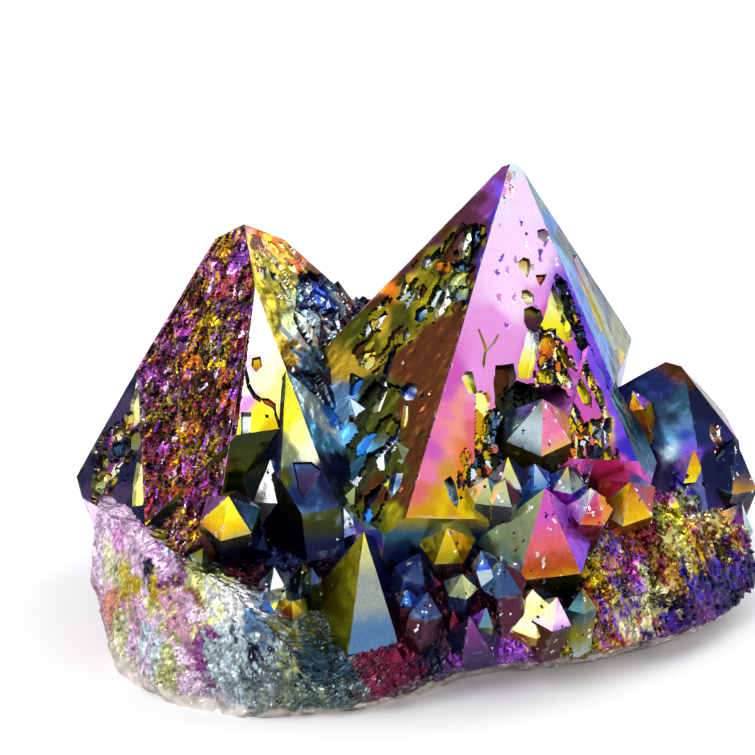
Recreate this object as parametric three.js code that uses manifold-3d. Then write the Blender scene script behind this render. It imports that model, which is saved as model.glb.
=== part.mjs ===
// An aura quartz cluster: a hand-sized natural group of quartz points on its own quartz matrix, coated with a
// thin metal film. Everything grew as one piece, so the model is one solid: two big pyramid-ended crystals and
// a smaller third one, the medium and small points between them, and the rough matrix that they stand on.
//
// Millimetres, +X right, +Y back, +Z up. The origin is the centre of the bounding box, on the flat underside.
import * as THREE from "three";
import { ConvexGeometry } from "three/addons/geometries/ConvexGeometry.js";
import { mergeVertices } from "three/addons/utils/BufferGeometryUtils.js";
import Module from "manifold-3d";

const wasm = await Module();
wasm.setup();

// ---- Driving dimensions ---------------------------------------------------------------------------------

const DEG = Math.PI / 180;
const PYRAMID_SLOPE = 51.8; // degrees between a quartz crystal's long axis and the normal of a pyramid face
const SIDES = 6;
const ROOT_DEPTH = 30; // how far a big crystal's prism runs down into the matrix
const SMALL_ROOT = 9; // the same for the small points
const SEED = 20417;

// The matrix: outlines around MATRIX_CENTRE, one value for each of 16 directions, starting at +X and turning
// towards +Y. Each level has a distance from the centre and a height.
const MATRIX_CENTRE = [5, -2];
const MATRIX_LEVELS = {
  foot: {
    reach: [38, 38, 35, 31, 29, 30, 34, 38, 39.5, 39.5, 37, 28, 21, 18, 21, 28],
    height: 0,
  },
  rim: {
    reach: [44.5, 44, 41, 36, 33, 34, 38, 41, 41, 41.5, 39, 31, 25, 23, 28, 35.5],
    height: [5, 6, 7, 8, 8, 8, 8, 9, 10, 9, 6, 3, 4, 5.2, 5.4, 5.5],
  },
  shoulder: {
    reach: [40, 37, 34, 30, 28, 29, 33, 38, 40.5, 40, 34, 27, 22, 20.5, 24, 32],
    height: [13.5, 15, 18, 20, 22, 24, 23, 21, 19, 18.5, 15.5, 5, 8.5, 11, 11.5, 12],
  },
  crest: {
    reach: [27, 24, 20, 18, 17, 17, 20, 28, 28, 25, 22, 18, 15.5, 15, 18, 24],
    height: [17, 20, 28, 31, 33, 37.5, 35.5, 27, 23, 16, 12, 8.5, 13.5, 17, 18, 18],
  },
  summit: {
    reach: 9,
    height: [27, 28, 30, 32, 34, 36, 36, 35, 31, 27.5, 25, 22.5, 22.5, 24, 24.5, 25.5],
  },
};
const SUMMIT_HEIGHT = 30;
const MATRIX_DIRECTIONS = 60;
const RINGS_BETWEEN_LEVELS = 3;
const MATRIX_ROUGHNESS = 1.3; // how far its surface stands in or out
const MATRIX_LUMP = 6; // the width of a lump

// Flat breaks round the matrix: which way each faces, and a point on it.
const BREAKS = [
  { facing: [-0.8, -0.58, 0.12], at: [-30.3, -18, 8] },
  { facing: [-0.99, 0.1, 0.1], at: [-34.9, -5, 9] },
  { facing: [-0.35, -0.92, 0.2], at: [-18, -26.6, 8] },
  { facing: [-0.42, -0.6, 0.68], at: [-30, -17, 17.6] },
  { facing: [0.1, -0.95, 0.3], at: [-6, -28, 6] },
  { facing: [0.42, -0.86, 0.3], at: [33, -15, 9] },
  { facing: [0.75, -0.55, 0.36], at: [42, -7, 9] },
  { facing: [0.96, 0.2, 0.2], at: [47.6, 4, 8] },
  { facing: [-0.3, 0.93, 0.2], at: [-15, 28, 9] },
  { facing: [-0.8, 0.55, 0.2], at: [-28, 20, 10] },
  { facing: [0.25, 0.95, 0.2], at: [19, 29, 10] },
  { facing: [0.78, 0.6, 0.2], at: [38, 18, 9] },
];

// ---- Small tools ----------------------------------------------------------------------------------------

function seededRandom(seed) {
  let state = seed >>> 0;
  return () => {
    state = (Math.imul(state, 1664525) + 1013904223) >>> 0;
    return state / 2 ** 32;
  };
}

function latticeValue(x, y, z) {
  let h = Math.imul(x, 374761393) + Math.imul(y, 668265263) + Math.imul(z, 2147483647) + SEED;
  h = Math.imul(h ^ (h >>> 13), 1274126177);
  return ((h ^ (h >>> 16)) >>> 0) / 2 ** 31 - 1;
}

// Smooth noise from -1 to 1, with lumps about one unit wide.
function noise(p) {
  const base = [Math.floor(p.x), Math.floor(p.y), Math.floor(p.z)];
  const part = [p.x - base[0], p.y - base[1], p.z - base[2]].map((t) => t * t * (3 - 2 * t));
  let sum = 0;
  for (let corner = 0; corner < 8; corner++) {
    const step = [corner & 1, (corner >> 1) & 1, (corner >> 2) & 1];
    const weight = step.reduce((w, s, k) => w * (s ? part[k] : 1 - part[k]), 1);
    sum += weight * latticeValue(base[0] + step[0], base[1] + step[1], base[2] + step[2]);
  }
  return sum;
}

function roughness(p, lump) {
  const near = p.clone().divideScalar(lump);
  return 0.65 * noise(near) + 0.35 * noise(near.multiplyScalar(2.3).addScalar(17));
}

function solidOf(geometry) {
  const bare = geometry.clone();
  bare.deleteAttribute("normal");
  bare.deleteAttribute("uv");
  const merged = mergeVertices(bare, 1e-3);
  return new wasm.Manifold(
    new wasm.Mesh({
      numProp: 3,
      vertProperties: merged.attributes.position.array,
      triVerts: new Uint32Array(merged.index.array),
    }),
  );
}

function geometryOf(solid) {
  const mesh = solid.getMesh();
  const points = new Float32Array(mesh.numVert * 3);
  for (let i = 0; i < mesh.numVert; i++) {
    points.set(mesh.vertProperties.subarray(i * mesh.numProp, i * mesh.numProp + 3), i * 3);
  }
  return new THREE.BufferGeometry()
    .setAttribute("position", new THREE.BufferAttribute(points, 3))
    .setIndex(new THREE.BufferAttribute(new Uint32Array(mesh.triVerts), 1));
}

// ---- Flat-faced solids ----------------------------------------------------------------------------------

function meetingPoint(a, b, c) {
  const bc = b.normal.clone().cross(c.normal);
  const spread = a.normal.dot(bc);
  if (Math.abs(spread) < 1e-6) return null;
  const ca = c.normal.clone().cross(a.normal);
  const ab = a.normal.clone().cross(b.normal);
  return bc
    .multiplyScalar(-a.constant)
    .addScaledVector(ca, -b.constant)
    .addScaledVector(ab, -c.constant)
    .divideScalar(spread);
}

// The corners of the space that is behind all the planes.
function cornersBehind(planes) {
  const corners = [];
  for (let i = 0; i < planes.length; i++) {
    for (let j = i + 1; j < planes.length; j++) {
      for (let k = j + 1; k < planes.length; k++) {
        const point = meetingPoint(planes[i], planes[j], planes[k]);
        if (point && planes.every((plane) => plane.distanceToPoint(point) < 1e-4)) {
          if (!corners.some((old) => old.distanceTo(point) < 1e-2)) corners.push(point);
        }
      }
    }
  }
  return corners;
}

const convexSolid = (planes) => solidOf(new ConvexGeometry(cornersBehind(planes)));

function planeThrough(normal, point) {
  return new THREE.Plane().setFromNormalAndCoplanarPoint(normal.clone().normalize(), point);
}

// ---- Crystals -------------------------------------------------------------------------------------------

// A crystal's own directions: its long axis, which leans from upright by `lean` towards `heading`, and two
// directions across it, the first of them level with +X.
function crystalAxes({ lean = 0, heading = 0 }) {
  const axis = new THREE.Vector3(
    Math.sin(lean * DEG) * Math.cos(heading * DEG),
    Math.sin(lean * DEG) * Math.sin(heading * DEG),
    Math.cos(lean * DEG),
  );
  const across = new THREE.Vector3(1, 0, 0).addScaledVector(axis, -axis.x).normalize();
  return { axis, across, along: axis.clone().cross(across) };
}

// Side i of a crystal: its outward direction, and its pyramid face, which starts `drop` below the tip.
function crystalSide(crystal, i) {
  const { axis, across, along } = crystalAxes(crystal);
  const outward = (turn) => {
    const angle = (crystal.twist + i * 60 + turn) * DEG;
    return across.clone().multiplyScalar(Math.cos(angle)).addScaledVector(along, Math.sin(angle));
  };
  const slope = (PYRAMID_SLOPE + (crystal.tilt?.[i] ?? 0)) * DEG;
  const normal = outward(crystal.turn?.[i] ?? 0)
    .multiplyScalar(Math.sin(slope))
    .addScaledVector(axis, Math.cos(slope));
  const top = new THREE.Vector3(...crystal.tip).addScaledVector(axis, -(crystal.drop?.[i] ?? 0));
  return { axis, outward: outward(0), normal, top };
}

function crystalPlanes(crystal) {
  const tip = new THREE.Vector3(...crystal.tip);
  const planes = [];
  for (let i = 0; i < SIDES; i++) {
    const side = crystalSide(crystal, i);
    const reach = crystal.reach?.[i] ?? crystal.radius;
    planes.push(planeThrough(side.normal, side.top));
    planes.push(planeThrough(side.outward, tip.clone().addScaledVector(side.outward, reach)));
  }
  const { axis } = crystalAxes(crystal);
  const root = tip.clone().addScaledVector(axis, -(crystal.root ?? SMALL_ROOT));
  planes.push(planeThrough(axis.clone().negate(), root));
  for (const cut of crystal.cuts ?? []) {
    planes.push(planeThrough(new THREE.Vector3(...cut.facing), new THREE.Vector3(...cut.at)));
  }
  return planes;
}

// A place on pyramid face i: u to the right and v down the face from the tip, seen from outside.
function facePlace(crystal, i, u, v) {
  const { axis, normal, top } = crystalSide(crystal, i);
  const right = axis.clone().cross(normal).normalize();
  const down = normal.clone().multiplyScalar(axis.dot(normal)).sub(axis).normalize();
  const point = top.clone().addScaledVector(right, u).addScaledVector(down, v);
  return { point, right, down, normal };
}

// The two main crystals and the third one to the right. `cuts` are extra broken or rough planes.
const TALL = {
  tip: [16.8, 10, 56.4],
  lean: 10,
  heading: -10,
  twist: 47,
  tilt: [0, 0, 6.4, 0, 0, -0.9],
  turn: [0, 0, -3, 0, 0, 0.3],
  drop: [-1.4, -0.6, -1.7, -0.5, -0.2, -1.6],
  reach: [19, 18, 22, 30, 28, 19],
  root: ROOT_DEPTH + 12,
};

const LEFT = {
  tip: [-16.9, 6, 51.2],
  lean: 6,
  heading: -162,
  twist: 39,
  tilt: [2, 0, 5.8, 3, -3, 4],
  turn: [-3.5, 0, 4.8, 2, 0, -3.8],
  drop: [-3.6, 0.4, -3.4, -4.2, -0.4, 1.6],
  reach: [20, 18, 22, 25.2, 18.9, 24],
  root: ROOT_DEPTH + 8,
  cuts: [
    { facing: [-0.49, -0.61, 0.58], at: [-21.85, -5.9, 32.32] }, // the rough plate down its front left edge
    { facing: [-0.92, -0.1, -0.38], at: [-37.4, -6, 18.8] }, // its undercut left foot
  ],
};

const RIGHT = {
  tip: [37.2, 8, 31.4],
  lean: 13,
  heading: -66,
  twist: 68,
  tilt: [0, 0, -8, 5, -2, -4],
  turn: [0, 0, -1, -2, 1, 2],
  drop: [0, 0, 0, 1.1, -1.6, -1.5],
  reach: [8, 8, 8, 11, 14, 10],
  root: 24,
};

const ARROW = {
  tip: [-1.6, -21, 20.2],
  lean: 27,
  heading: -102,
  twist: 36,
  tilt: [0, 0, 4, 0, -4, 4],
  turn: [0, 0, 2.5, 1.5, -0.5, -3.5],
  reach: [6, 6, 6, 9.5, 9.5, 7],
  root: 20,
};

// Crystals that grew on the edges of the main ones and share their directions.
const grownOn = (host, tip, reach, root) => ({ ...host, tip, reach, root, drop: [], cuts: [] });
const LEFT_PLATE = {
  ...LEFT,
  drop: [-3.4, 0.6, -2.1, -2, -0.3, 1.8],
  reach: [20, 18, 21.8, 25, 24.8, 24],
  cuts: [
    { facing: [-0.49, -0.61, 0.58], at: [-21.82, -5.85, 32.28] },
    { facing: [-0.92, -0.1, -0.38], at: [-37.2, -6, 18.9] },
    { facing: [0.99, -0.1, -0.09], at: [-15.5, -2.3, 41.6] },
  ],
};
const LEFT_SPUR = grownOn(LEFT, [-11.1, -7.6, 35.7], [6, 6, 6, 7, 12, 9], 20);
const TALL_SPUR = grownOn(TALL, [26.2, -0.6, 36.5], [8, 6, 6, 9, 9, 11.5], 26);

// Smaller points: the tip's x, y and z, then lean, heading, twist and radius, and the root if it is long.
const POINTS = {
  // in front of the tall crystal
  orange: [19.8, -19, 25, 24, -78, 42, 6.6, 18],
  pink: [19.8, -12, 33.6, 27, -80, 3, 4, 14],
  spikeHigh: [15.5, -16.5, 28, 15, -115, 26, 2.4],
  spikeLeft: [13, -18, 25.9, 27, -90, 21, 2],
  spikeRight: [15, -19, 26.1, 27, -90, 22, 2],
  slateUpper: [18.7, -15.5, 26.7, 22, -91, 0, 2],
  strawUpper: [22.8, -15, 26.2, 24, -86, 13, 2],
  shardPale: [25.4, -16.5, 24, 22, -91, 46, 1.8],
  shardRed: [26, -16.8, 23.8, 28, -68, 35, 2.6],
  goldLedge: [30.4, -14, 23.7, 41, -88, 52, 3.4],
  hexagon: [8.2, -22, 21.2, 44, -91, 33, 3],
  slateTriangle: [5, -22, 18, 17, -44, 27, 2.2],
  slateLow: [5.9, -25, 14.3, 16, -58, 6, 2],
  slateTiny: [3.5, -24.5, 14.4, 21, -91, 22, 1.2],
  jagged: [9.9, -24, 16.2, 28, -89, 16, 1.8],
  needlePair: [12.2, -22, 18.4, 17, -156, 22, 1.5],
  dusk: [14.6, -23, 17.4, 16, -114, 43, 2.6],
  dome: [10.8, -25, 11.2, 31, -105, 38, 3, 7],
  domeSide: [12.8, -24.5, 12.1, 25, -80, 34, 1.5, 7],
  butter: [18.3, -23.5, 14, 34, -92, 7, 3.6],
  blossom: [21.2, -23.8, 13.1, 25, -64, 59, 2.4],
  tealLow: [24.3, -21.5, 13.2, 14, -76, 11, 1.8],
  // in the valley between the two main crystals
  greyYellow: [1.4, -19.5, 20, 28, -89, 25, 2.6],
  white: [-4.6, -17.5, 22.7, 29, -89, 55, 2.8, 14],
  whiteTwin: [-5.5, -15, 23.9, 19, -103, 31, 1.9],
  lozenge: [-12.8, -15, 27, 35, -93, 25, 3.4, 12],
  indigo: [-6.7, -13.5, 25.8, 35, -90, 53, 3],
  olivePlate: [2.2, -14, 29, 29, -125, 12, 4],
  blueFacet: [-3.4, -6, 31.5, 27, -144, 2, 3.4],
  whiteSliver: [0.1, -4, 31.2, 31, -115, 50, 1.6],
  oliveBand: [-2.6, -16, 24, 40, -62, 10, 3, 12],
  blueLow: [-4.9, -8, 29.7, 30, -70, 20, 2.4],
  blueRidge: [-5.9, -3, 32.2, 16, -88, 0, 2],
  saddleSmall: [-5, 8, 38, 26, -89, 0, 1.4],
  // along the foot of the left crystal
  yellowStep: [-17.5, -21, 24.8, 34, -88, 47, 3.2, 12],
  whiteChip: [-12.2, -22.5, 16.4, 21, -88, 47, 1.6],
  oliveLow: [-8.9, -19, 15.3, 22, -115, 36, 2.4],
  paleLow: [-13.4, -24, 13.9, 28, -86, 44, 1.6],
  goldChip: [-10.1, -24, 12.7, 44, -88, 4, 1.8],
  maroon: [-7.8, -21, 15.6, 15, -90, 0, 1.2],
  // round the third crystal
  strip: [32.7, 6, 28, 17, -170, 20, 1.6, 13],
  goldFoot: [40.3, 2, 21.5, 24, -80, 40, 2.6],
  farRight: [46, 5, 21.9, 17, -20, 10, 4.4, 16],
  farLow: [46.5, 0, 15, 24, -30, 35, 3],
  // behind
  backMiddle: [3, 28, 33, 22, 95, 20, 7.5, 24],
  backLeft: [-19, 25, 34, 20, 120, 40, 8, 26],
  backFarLeft: [-31, 19, 23, 26, 145, 15, 5.5, 18],
  backRight: [26, 27, 29, 22, 70, 5, 8, 22],
  backFarRight: [40, 19, 20, 28, 45, 30, 5.5, 16],
  backLow: [12, 33, 18, 42, 88, 50, 4.5, 12],
  backLowLeft: [-9, 31, 20, 38, 105, 10, 4.5, 12],
};

function pointCrystal([x, y, z, lean, heading, twist, radius, root]) {
  return { tip: [x, y, z], lean, heading, twist, radius, root };
}

const namedCrystals = [
  ARROW,
  LEFT_PLATE,
  LEFT_SPUR,
  TALL_SPUR,
  ...Object.values(POINTS).map(pointCrystal),
];

// Flat-floored pits etched into the pyramid faces, and narrow grooves along them. Each has its place
// on the face (to the right and down from the tip), its width, its length, its turn in degrees and its depth.
const PITS = [
  {
    crystal: TALL,
    side: 4,
    pits: [
      [1, 12.7, 1.3, 1.6, 0, 0.8],
      [1.2, 17.4, 1.4, 2.4, 5, 0.9],
      [2.9, 14.9, 1.9, 1.7, 10, 0.9],
      [4.7, 18, 2, 5.6, -10, 1.3],
      [4.4, 23.2, 3.6, 4.6, -12, 1.4],
      [7.4, 26.8, 1.5, 8.6, -16, 1.3],
      [0.4, 24.8, 2.2, 6.2, -3, 1.4],
      [2.8, 27.2, 2.2, 3.2, 0, 1.2],
      [-2.9, 28.2, 1.8, 4.8, 2, 2],
      [-7.2, 28.7, 1, 3.2, -25, 1],
      [-4.8, 24.4, 0.8, 2.6, 5, 0.8],
      [-9.6, 42, 1, 4.4, -18, 1.4],
      [-4.4, 36.6, 3, 7, -4, 1.5],
      [3, 34.6, 8.6, 7.4, 0, 2.6],
      [9.2, 36.4, 2, 6, -14, 1.4],
    ],
  },
  {
    crystal: TALL,
    side: 3,
    pits: [
      [-1.4, 20.6, 3.6, 23, 7, 0.6],
      [0.5, 11.4, 1.4, 4.6, 14, 1.1],
      [2.9, 13.8, 1.6, 3, 14, 1.1],
      [-1.9, 16.2, 1.1, 3.6, 24, 1.1],
      [2.6, 18.6, 1.2, 4, 20, 1.2],
      [-3.2, 22.6, 1, 3, 16, 1],
      [-2.4, 30.6, 2.4, 6, 8, 1],
      [6.6, 31.7, 1.2, 1.6, 0, 0.8],
    ],
  },
  { crystal: TALL, side: 5, pits: [[4, 22.7, 1, 15.5, 18, 0.7]] },
  {
    crystal: LEFT,
    side: 3,
    pits: [
      [-3.9, 31.9, 0.9, 2.6, 12, 0.7],
      [-4.6, 35, 1.6, 3, 15, 0.8],
      [-6.8, 38.2, 1.1, 3.4, 15, 0.8],
      [-4.4, 40.6, 1.2, 3.4, 20, 0.8],
      [-1, 36, 1, 2.2, 10, 0.7],
    ],
  },
  {
    crystal: LEFT,
    side: 4,
    pits: [
      [-3.7, 26.6, 1.2, 3.6, 0, 1.3],
      [-2.9, 20.4, 0.7, 2.8, -25, 0.8],
    ],
  },
  {
    crystal: LEFT,
    side: 5,
    pits: [
      [3.8, 9, 1.6, 2.6, 20, 0.9],
      [5, 12, 1.4, 3, 20, 0.9],
      [-1, 14, 2, 3, 15, 0.9],
      [-1.4, 17.2, 1.2, 2.4, 15, 0.8],
    ],
  },
  { crystal: RIGHT, side: 4, pits: [[2.2, 12.2, 1, 3.4, -16, 0.9]] },
];
const PIT_TAPER = 0.62; // a pit's floor against its mouth

// Druse: many tiny points, scattered over parts of the matrix. `from` and `to` are a direction in degrees and
// a level of the matrix (0 its foot, 4 its summit).
const DRUSE = [
  { count: 34, from: [150, 2.3], to: [262, 3.9], radius: [0.7, 1.6] },
  { count: 26, from: [262, 1.3], to: [335, 3], radius: [0.6, 1.4] },
  { count: 30, from: [20, 1.6], to: [165, 3.2], radius: [1, 2.6] },
  { count: 12, from: [335, 1.8], to: [380, 2.8], radius: [0.8, 1.6] },
];
const DRUSE_STANDS = 1.1; // how far a tiny point stands out, in its own radii
const DRUSE_LEAN = 0.45; // how much of the ground's own slope it follows

// ---- Matrix ---------------------------------------------------------------------------------------------

// The value of a 16-direction list at any angle, on a smooth closed curve.
function around(list, angle) {
  if (typeof list === "number") return list;
  const place = (((angle / (2 * Math.PI)) % 1) + 1) * list.length;
  const k = Math.floor(place);
  const t = place - k;
  const at = (n) => list[(((k + n) % list.length) + list.length) % list.length];
  const [a, b, c, d] = [at(-1), at(0), at(1), at(2)];
  return b + 0.5 * t * (c - a + t * (2 * a - 5 * b + 4 * c - d + t * (3 * (b - c) + d - a)));
}

function matrixPoint(levels, ring, angle) {
  const k = Math.min(Math.floor(ring), levels.length - 2);
  const t = ring - k;
  const mix = (key) =>
    (1 - t) * around(levels[k][key], angle) + t * around(levels[k + 1][key], angle);
  const reach = mix("reach");
  return new THREE.Vector3(
    MATRIX_CENTRE[0] + reach * Math.cos(angle),
    MATRIX_CENTRE[1] + reach * Math.sin(angle),
    mix("height"),
  );
}

function matrixSolid() {
  const levels = Object.values(MATRIX_LEVELS);
  const rings = (levels.length - 1) * RINGS_BETWEEN_LEVELS + 1;
  const points = [new THREE.Vector3(...MATRIX_CENTRE, 0)];
  for (let r = 0; r < rings; r++) {
    for (let d = 0; d < MATRIX_DIRECTIONS; d++) {
      const angle = (2 * Math.PI * d) / MATRIX_DIRECTIONS;
      const point = matrixPoint(levels, r / RINGS_BETWEEN_LEVELS, angle);
      const outward = new THREE.Vector3(Math.cos(angle), Math.sin(angle), r === 0 ? 0 : 0.6);
      point.addScaledVector(outward, MATRIX_ROUGHNESS * roughness(point, MATRIX_LUMP));
      points.push(point);
    }
  }
  points.push(new THREE.Vector3(...MATRIX_CENTRE, SUMMIT_HEIGHT));
  const last = points.length - 1;
  const faces = [];
  for (let d = 0; d < MATRIX_DIRECTIONS; d++) {
    const next = (d + 1) % MATRIX_DIRECTIONS;
    faces.push([0, 1 + next, 1 + d]);
    for (let r = 0; r < rings - 1; r++) {
      const low = 1 + r * MATRIX_DIRECTIONS;
      const high = low + MATRIX_DIRECTIONS;
      faces.push([low + d, low + next, high + next], [low + d, high + next, high + d]);
    }
    const top = 1 + (rings - 1) * MATRIX_DIRECTIONS;
    faces.push([top + d, top + next, last]);
  }
  const flat = faces.flat().flatMap((k) => points[k].toArray());
  return solidOf(
    new THREE.BufferGeometry().setAttribute("position", new THREE.Float32BufferAttribute(flat, 3)),
  );
}

function matrixNormal(levels, ring, angle) {
  const step = 0.02;
  const here = matrixPoint(levels, ring, angle);
  const along = matrixPoint(levels, ring, angle + step).sub(here);
  const up = matrixPoint(levels, ring + step, angle).sub(here);
  return along.cross(up).normalize();
}

function druseCrystals() {
  const levels = Object.values(MATRIX_LEVELS);
  const random = seededRandom(SEED);
  const between = (a, b) => a + (b - a) * random();
  const crystals = [];
  for (const patch of DRUSE) {
    for (let k = 0; k < patch.count; k++) {
      const angle = between(patch.from[0], patch.to[0]) * DEG;
      const ring = between(patch.from[1], patch.to[1]);
      const radius = between(...patch.radius);
      const ground = matrixPoint(levels, ring, angle);
      const normal = matrixNormal(levels, ring, angle);
      const axis = new THREE.Vector3(between(-0.3, 0.3), between(-0.3, 0.3), 1 - DRUSE_LEAN)
        .addScaledVector(normal, DRUSE_LEAN)
        .normalize();
      const tip = ground.addScaledVector(axis, radius * DRUSE_STANDS).addScaledVector(normal, radius * 0.5);
      crystals.push({
        tip: tip.toArray(),
        lean: Math.acos(axis.z) / DEG,
        heading: Math.atan2(axis.y, axis.x) / DEG,
        twist: between(0, 60),
        radius,
        root: radius * 4,
      });
    }
  }
  return crystals;
}

// A pit's cutter: a long hexagon on the face that narrows to its floor.
function pitSolid(crystal, side, [u, v, width, length, turn, depth]) {
  const { point, right, down, normal } = facePlace(crystal, side, u, v);
  const cos = Math.cos(turn * DEG);
  const sin = Math.sin(turn * DEG);
  const outline = [
    [0, -0.5],
    [0.5, -0.22],
    [0.45, 0.3],
    [0.05, 0.5],
    [-0.5, 0.28],
    [-0.42, -0.3],
  ];
  const corners = [];
  for (const [height, size] of [
    [depth * 0.4, 1 + 0.4 * (1 - PIT_TAPER)],
    [-depth, PIT_TAPER],
  ]) {
    for (const [x, y] of outline) {
      const a = x * width * size;
      const b = y * length * size;
      corners.push(
        point
          .clone()
          .addScaledVector(right, a * cos + b * sin)
          .addScaledVector(down, b * cos - a * sin)
          .addScaledVector(normal, height),
      );
    }
  }
  return solidOf(new ConvexGeometry(corners));
}

// ---- The cluster ----------------------------------------------------------------------------------------

const crystalSolid = (crystal) => convexSolid(crystalPlanes(crystal));
const etched = [TALL, LEFT, RIGHT].map((crystal) => {
  const cutters = PITS.filter((set) => set.crystal === crystal).flatMap(({ side, pits }) =>
    pits.map((pit) => pitSolid(crystal, side, pit)),
  );
  return wasm.Manifold.difference([crystalSolid(crystal), ...cutters]);
});
const others = [...namedCrystals, ...druseCrystals()].map(crystalSolid);

// Everything in front of a break, as a block large enough to clear the matrix there.
function inFrontOf({ facing, at }) {
  const normal = new THREE.Vector3(...facing).normalize();
  const block = new THREE.BoxGeometry(160, 160, 60).translate(0, 0, 30);
  block.applyQuaternion(new THREE.Quaternion().setFromUnitVectors(new THREE.Vector3(0, 0, 1), normal));
  return solidOf(block.translate(...at));
}

const matrix = wasm.Manifold.difference([matrixSolid(), ...BREAKS.map(inFrontOf)]);
const grown = wasm.Manifold.union([matrix, ...etched, ...others]);

// Cut flat underneath, then moved so that the origin is the centre of the underside's bounding box.
const aboveGround = new THREE.BoxGeometry(200, 200, 100).translate(0, 0, 50);
const cluster = geometryOf(wasm.Manifold.intersection([grown, solidOf(aboveGround)]));
cluster.computeBoundingBox();
const middle = cluster.boundingBox.getCenter(new THREE.Vector3());
cluster.translate(-middle.x, -middle.y, 0);

const object = new THREE.Group();
const mesh = new THREE.Mesh(
  cluster,
  new THREE.MeshStandardMaterial({ color: 0x8a4fa0, roughness: 0.25, metalness: 0.9, flatShading: true }),
);
mesh.name = "quartz_cluster";
object.add(mesh);

export default object;
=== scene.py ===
import math
from itertools import product

import bpy
import numpy as np
from bpy.props import FloatProperty, FloatVectorProperty, IntProperty, PointerProperty
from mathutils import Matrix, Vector, geometry, kdtree
from mathutils.bvhtree import BVHTree


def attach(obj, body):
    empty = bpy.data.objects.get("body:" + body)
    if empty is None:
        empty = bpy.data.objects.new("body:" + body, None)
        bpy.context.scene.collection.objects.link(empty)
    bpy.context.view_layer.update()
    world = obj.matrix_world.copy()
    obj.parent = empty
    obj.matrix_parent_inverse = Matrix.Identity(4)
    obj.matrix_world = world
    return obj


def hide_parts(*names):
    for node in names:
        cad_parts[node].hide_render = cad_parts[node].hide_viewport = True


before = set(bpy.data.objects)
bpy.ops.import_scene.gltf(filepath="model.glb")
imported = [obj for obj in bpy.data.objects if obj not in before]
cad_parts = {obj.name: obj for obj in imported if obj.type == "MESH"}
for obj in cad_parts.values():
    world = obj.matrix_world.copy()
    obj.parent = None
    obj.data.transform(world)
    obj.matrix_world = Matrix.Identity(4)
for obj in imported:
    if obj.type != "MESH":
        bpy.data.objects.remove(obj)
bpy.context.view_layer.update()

# The looks of an aura quartz cluster: quartz points on their own matrix, under a thin vapour-deposited metal
# film that turns every face a different interference colour. All the making below is in millimetres, in the
# grower's own coordinates; Skin.mesh_object() brings it to metres and to the frame.

bl_info = {
    "name": "Aura Quartz Cluster",
    "version": (1, 0, 0),
    "blender": (4, 5, 0),
    "location": "View3D > Sidebar > Aura Quartz",
    "description": "Builds the crystals, matrix, druse and coating of an aura quartz cluster",
    "category": "Add Mesh",
}

NODE = "quartz_cluster"
BODY = "root"
MIDDLE = np.array([5.5462, 1.5151, 0.0])  # from the grower's coordinates to the frame's

DEG = math.pi / 180
PYRAMID_SLOPE = 51.8
SIDES = 6
SEED = 20417

# ---- Colours of the film --------------------------------------------------------------------------------

FILM = {
    "white": (252, 253, 253), "cream": (253, 251, 208), "butter": (254, 251, 150), "lemon": (248, 238, 48),
    "gold": (228, 192, 16), "amber": (205, 148, 18), "orange": (228, 120, 32), "rust": (172, 76, 30),
    "brown": (84, 46, 24), "umber": (72, 42, 18), "olive": (128, 120, 20), "moss": (64, 68, 12),
    "bottle": (44, 52, 30), "sage": (150, 165, 108), "straw": (202, 206, 138), "greygreen": (118, 130, 98),
    "ash": (150, 160, 152), "mist": (184, 206, 212), "ice": (216, 240, 249), "sky": (96, 176, 228),
    "azure": (44, 116, 206), "cobalt": (38, 66, 170), "steel": (84, 122, 162), "slate": (58, 80, 126),
    "ink": (20, 26, 58), "navy": (28, 40, 86), "dusk": (62, 48, 84), "indigo": (62, 48, 190),
    "violet": (122, 78, 226), "orchid": (168, 82, 220), "magenta": (206, 88, 186), "lilac": (250, 214, 252),
    "mauve": (232, 152, 226), "pink": (236, 122, 172), "rose": (222, 100, 112), "coral": (226, 98, 68),
    "crimson": (190, 60, 82), "bronze": (172, 142, 44), "copper": (186, 112, 100), "maroon": (80, 42, 58),
    "heather": (204, 150, 176), "plum": (122, 58, 126), "grape": (66, 26, 128), "wine": (122, 34, 66),
    "peach": (240, 156, 128), "teal": (92, 142, 150), "deepteal": (40, 76, 96), "charcoal": (30, 44, 60),
    "black": (12, 14, 24), "quartz": (232, 222, 214),
}


def film(name):
    return (np.array(FILM[name], float) / 255) ** 2.2


# ---- Noise ----------------------------------------------------------------------------------------------


def lattice_value(cell, seed):
    """A fixed value from -1 to 1 for each cell of a lattice, with nothing to tell from its neighbours'."""
    mask = np.uint64(0xFFFFFFFF)
    x, y, z = (cell.astype(np.uint64) & mask).T
    h = x * np.uint64(374761393) + y * np.uint64(668265263) + z * np.uint64(2147483647) + np.uint64(seed)
    h &= mask
    h = ((h ^ (h >> np.uint64(13))) * np.uint64(1274126177)) & mask
    return ((h ^ (h >> np.uint64(16))) & mask).astype(float) / 2**31 - 1


def noise(points, seed=SEED):
    """Smooth noise from -1 to 1 at each point, with lumps about one unit wide."""
    base = np.floor(points)
    part = smooth(points - base)
    cell = base.astype(np.int64)
    total = np.zeros(len(points))
    for corner in range(8):
        step = np.array([corner & 1, (corner >> 1) & 1, (corner >> 2) & 1])
        weight = np.prod(np.where(step, part, 1 - part), axis=1)
        total += weight * lattice_value(cell + step, seed)
    return total


def rough_noise(points, width, octaves=4, gain=0.5, seed=SEED):
    total, size = np.zeros(len(points)), 1.0
    here = points / width
    for k in range(octaves):
        total += size * noise(here, seed + 13 * k)
        here = here * 2.03 + 11.7
        size *= gain
    return total


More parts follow.
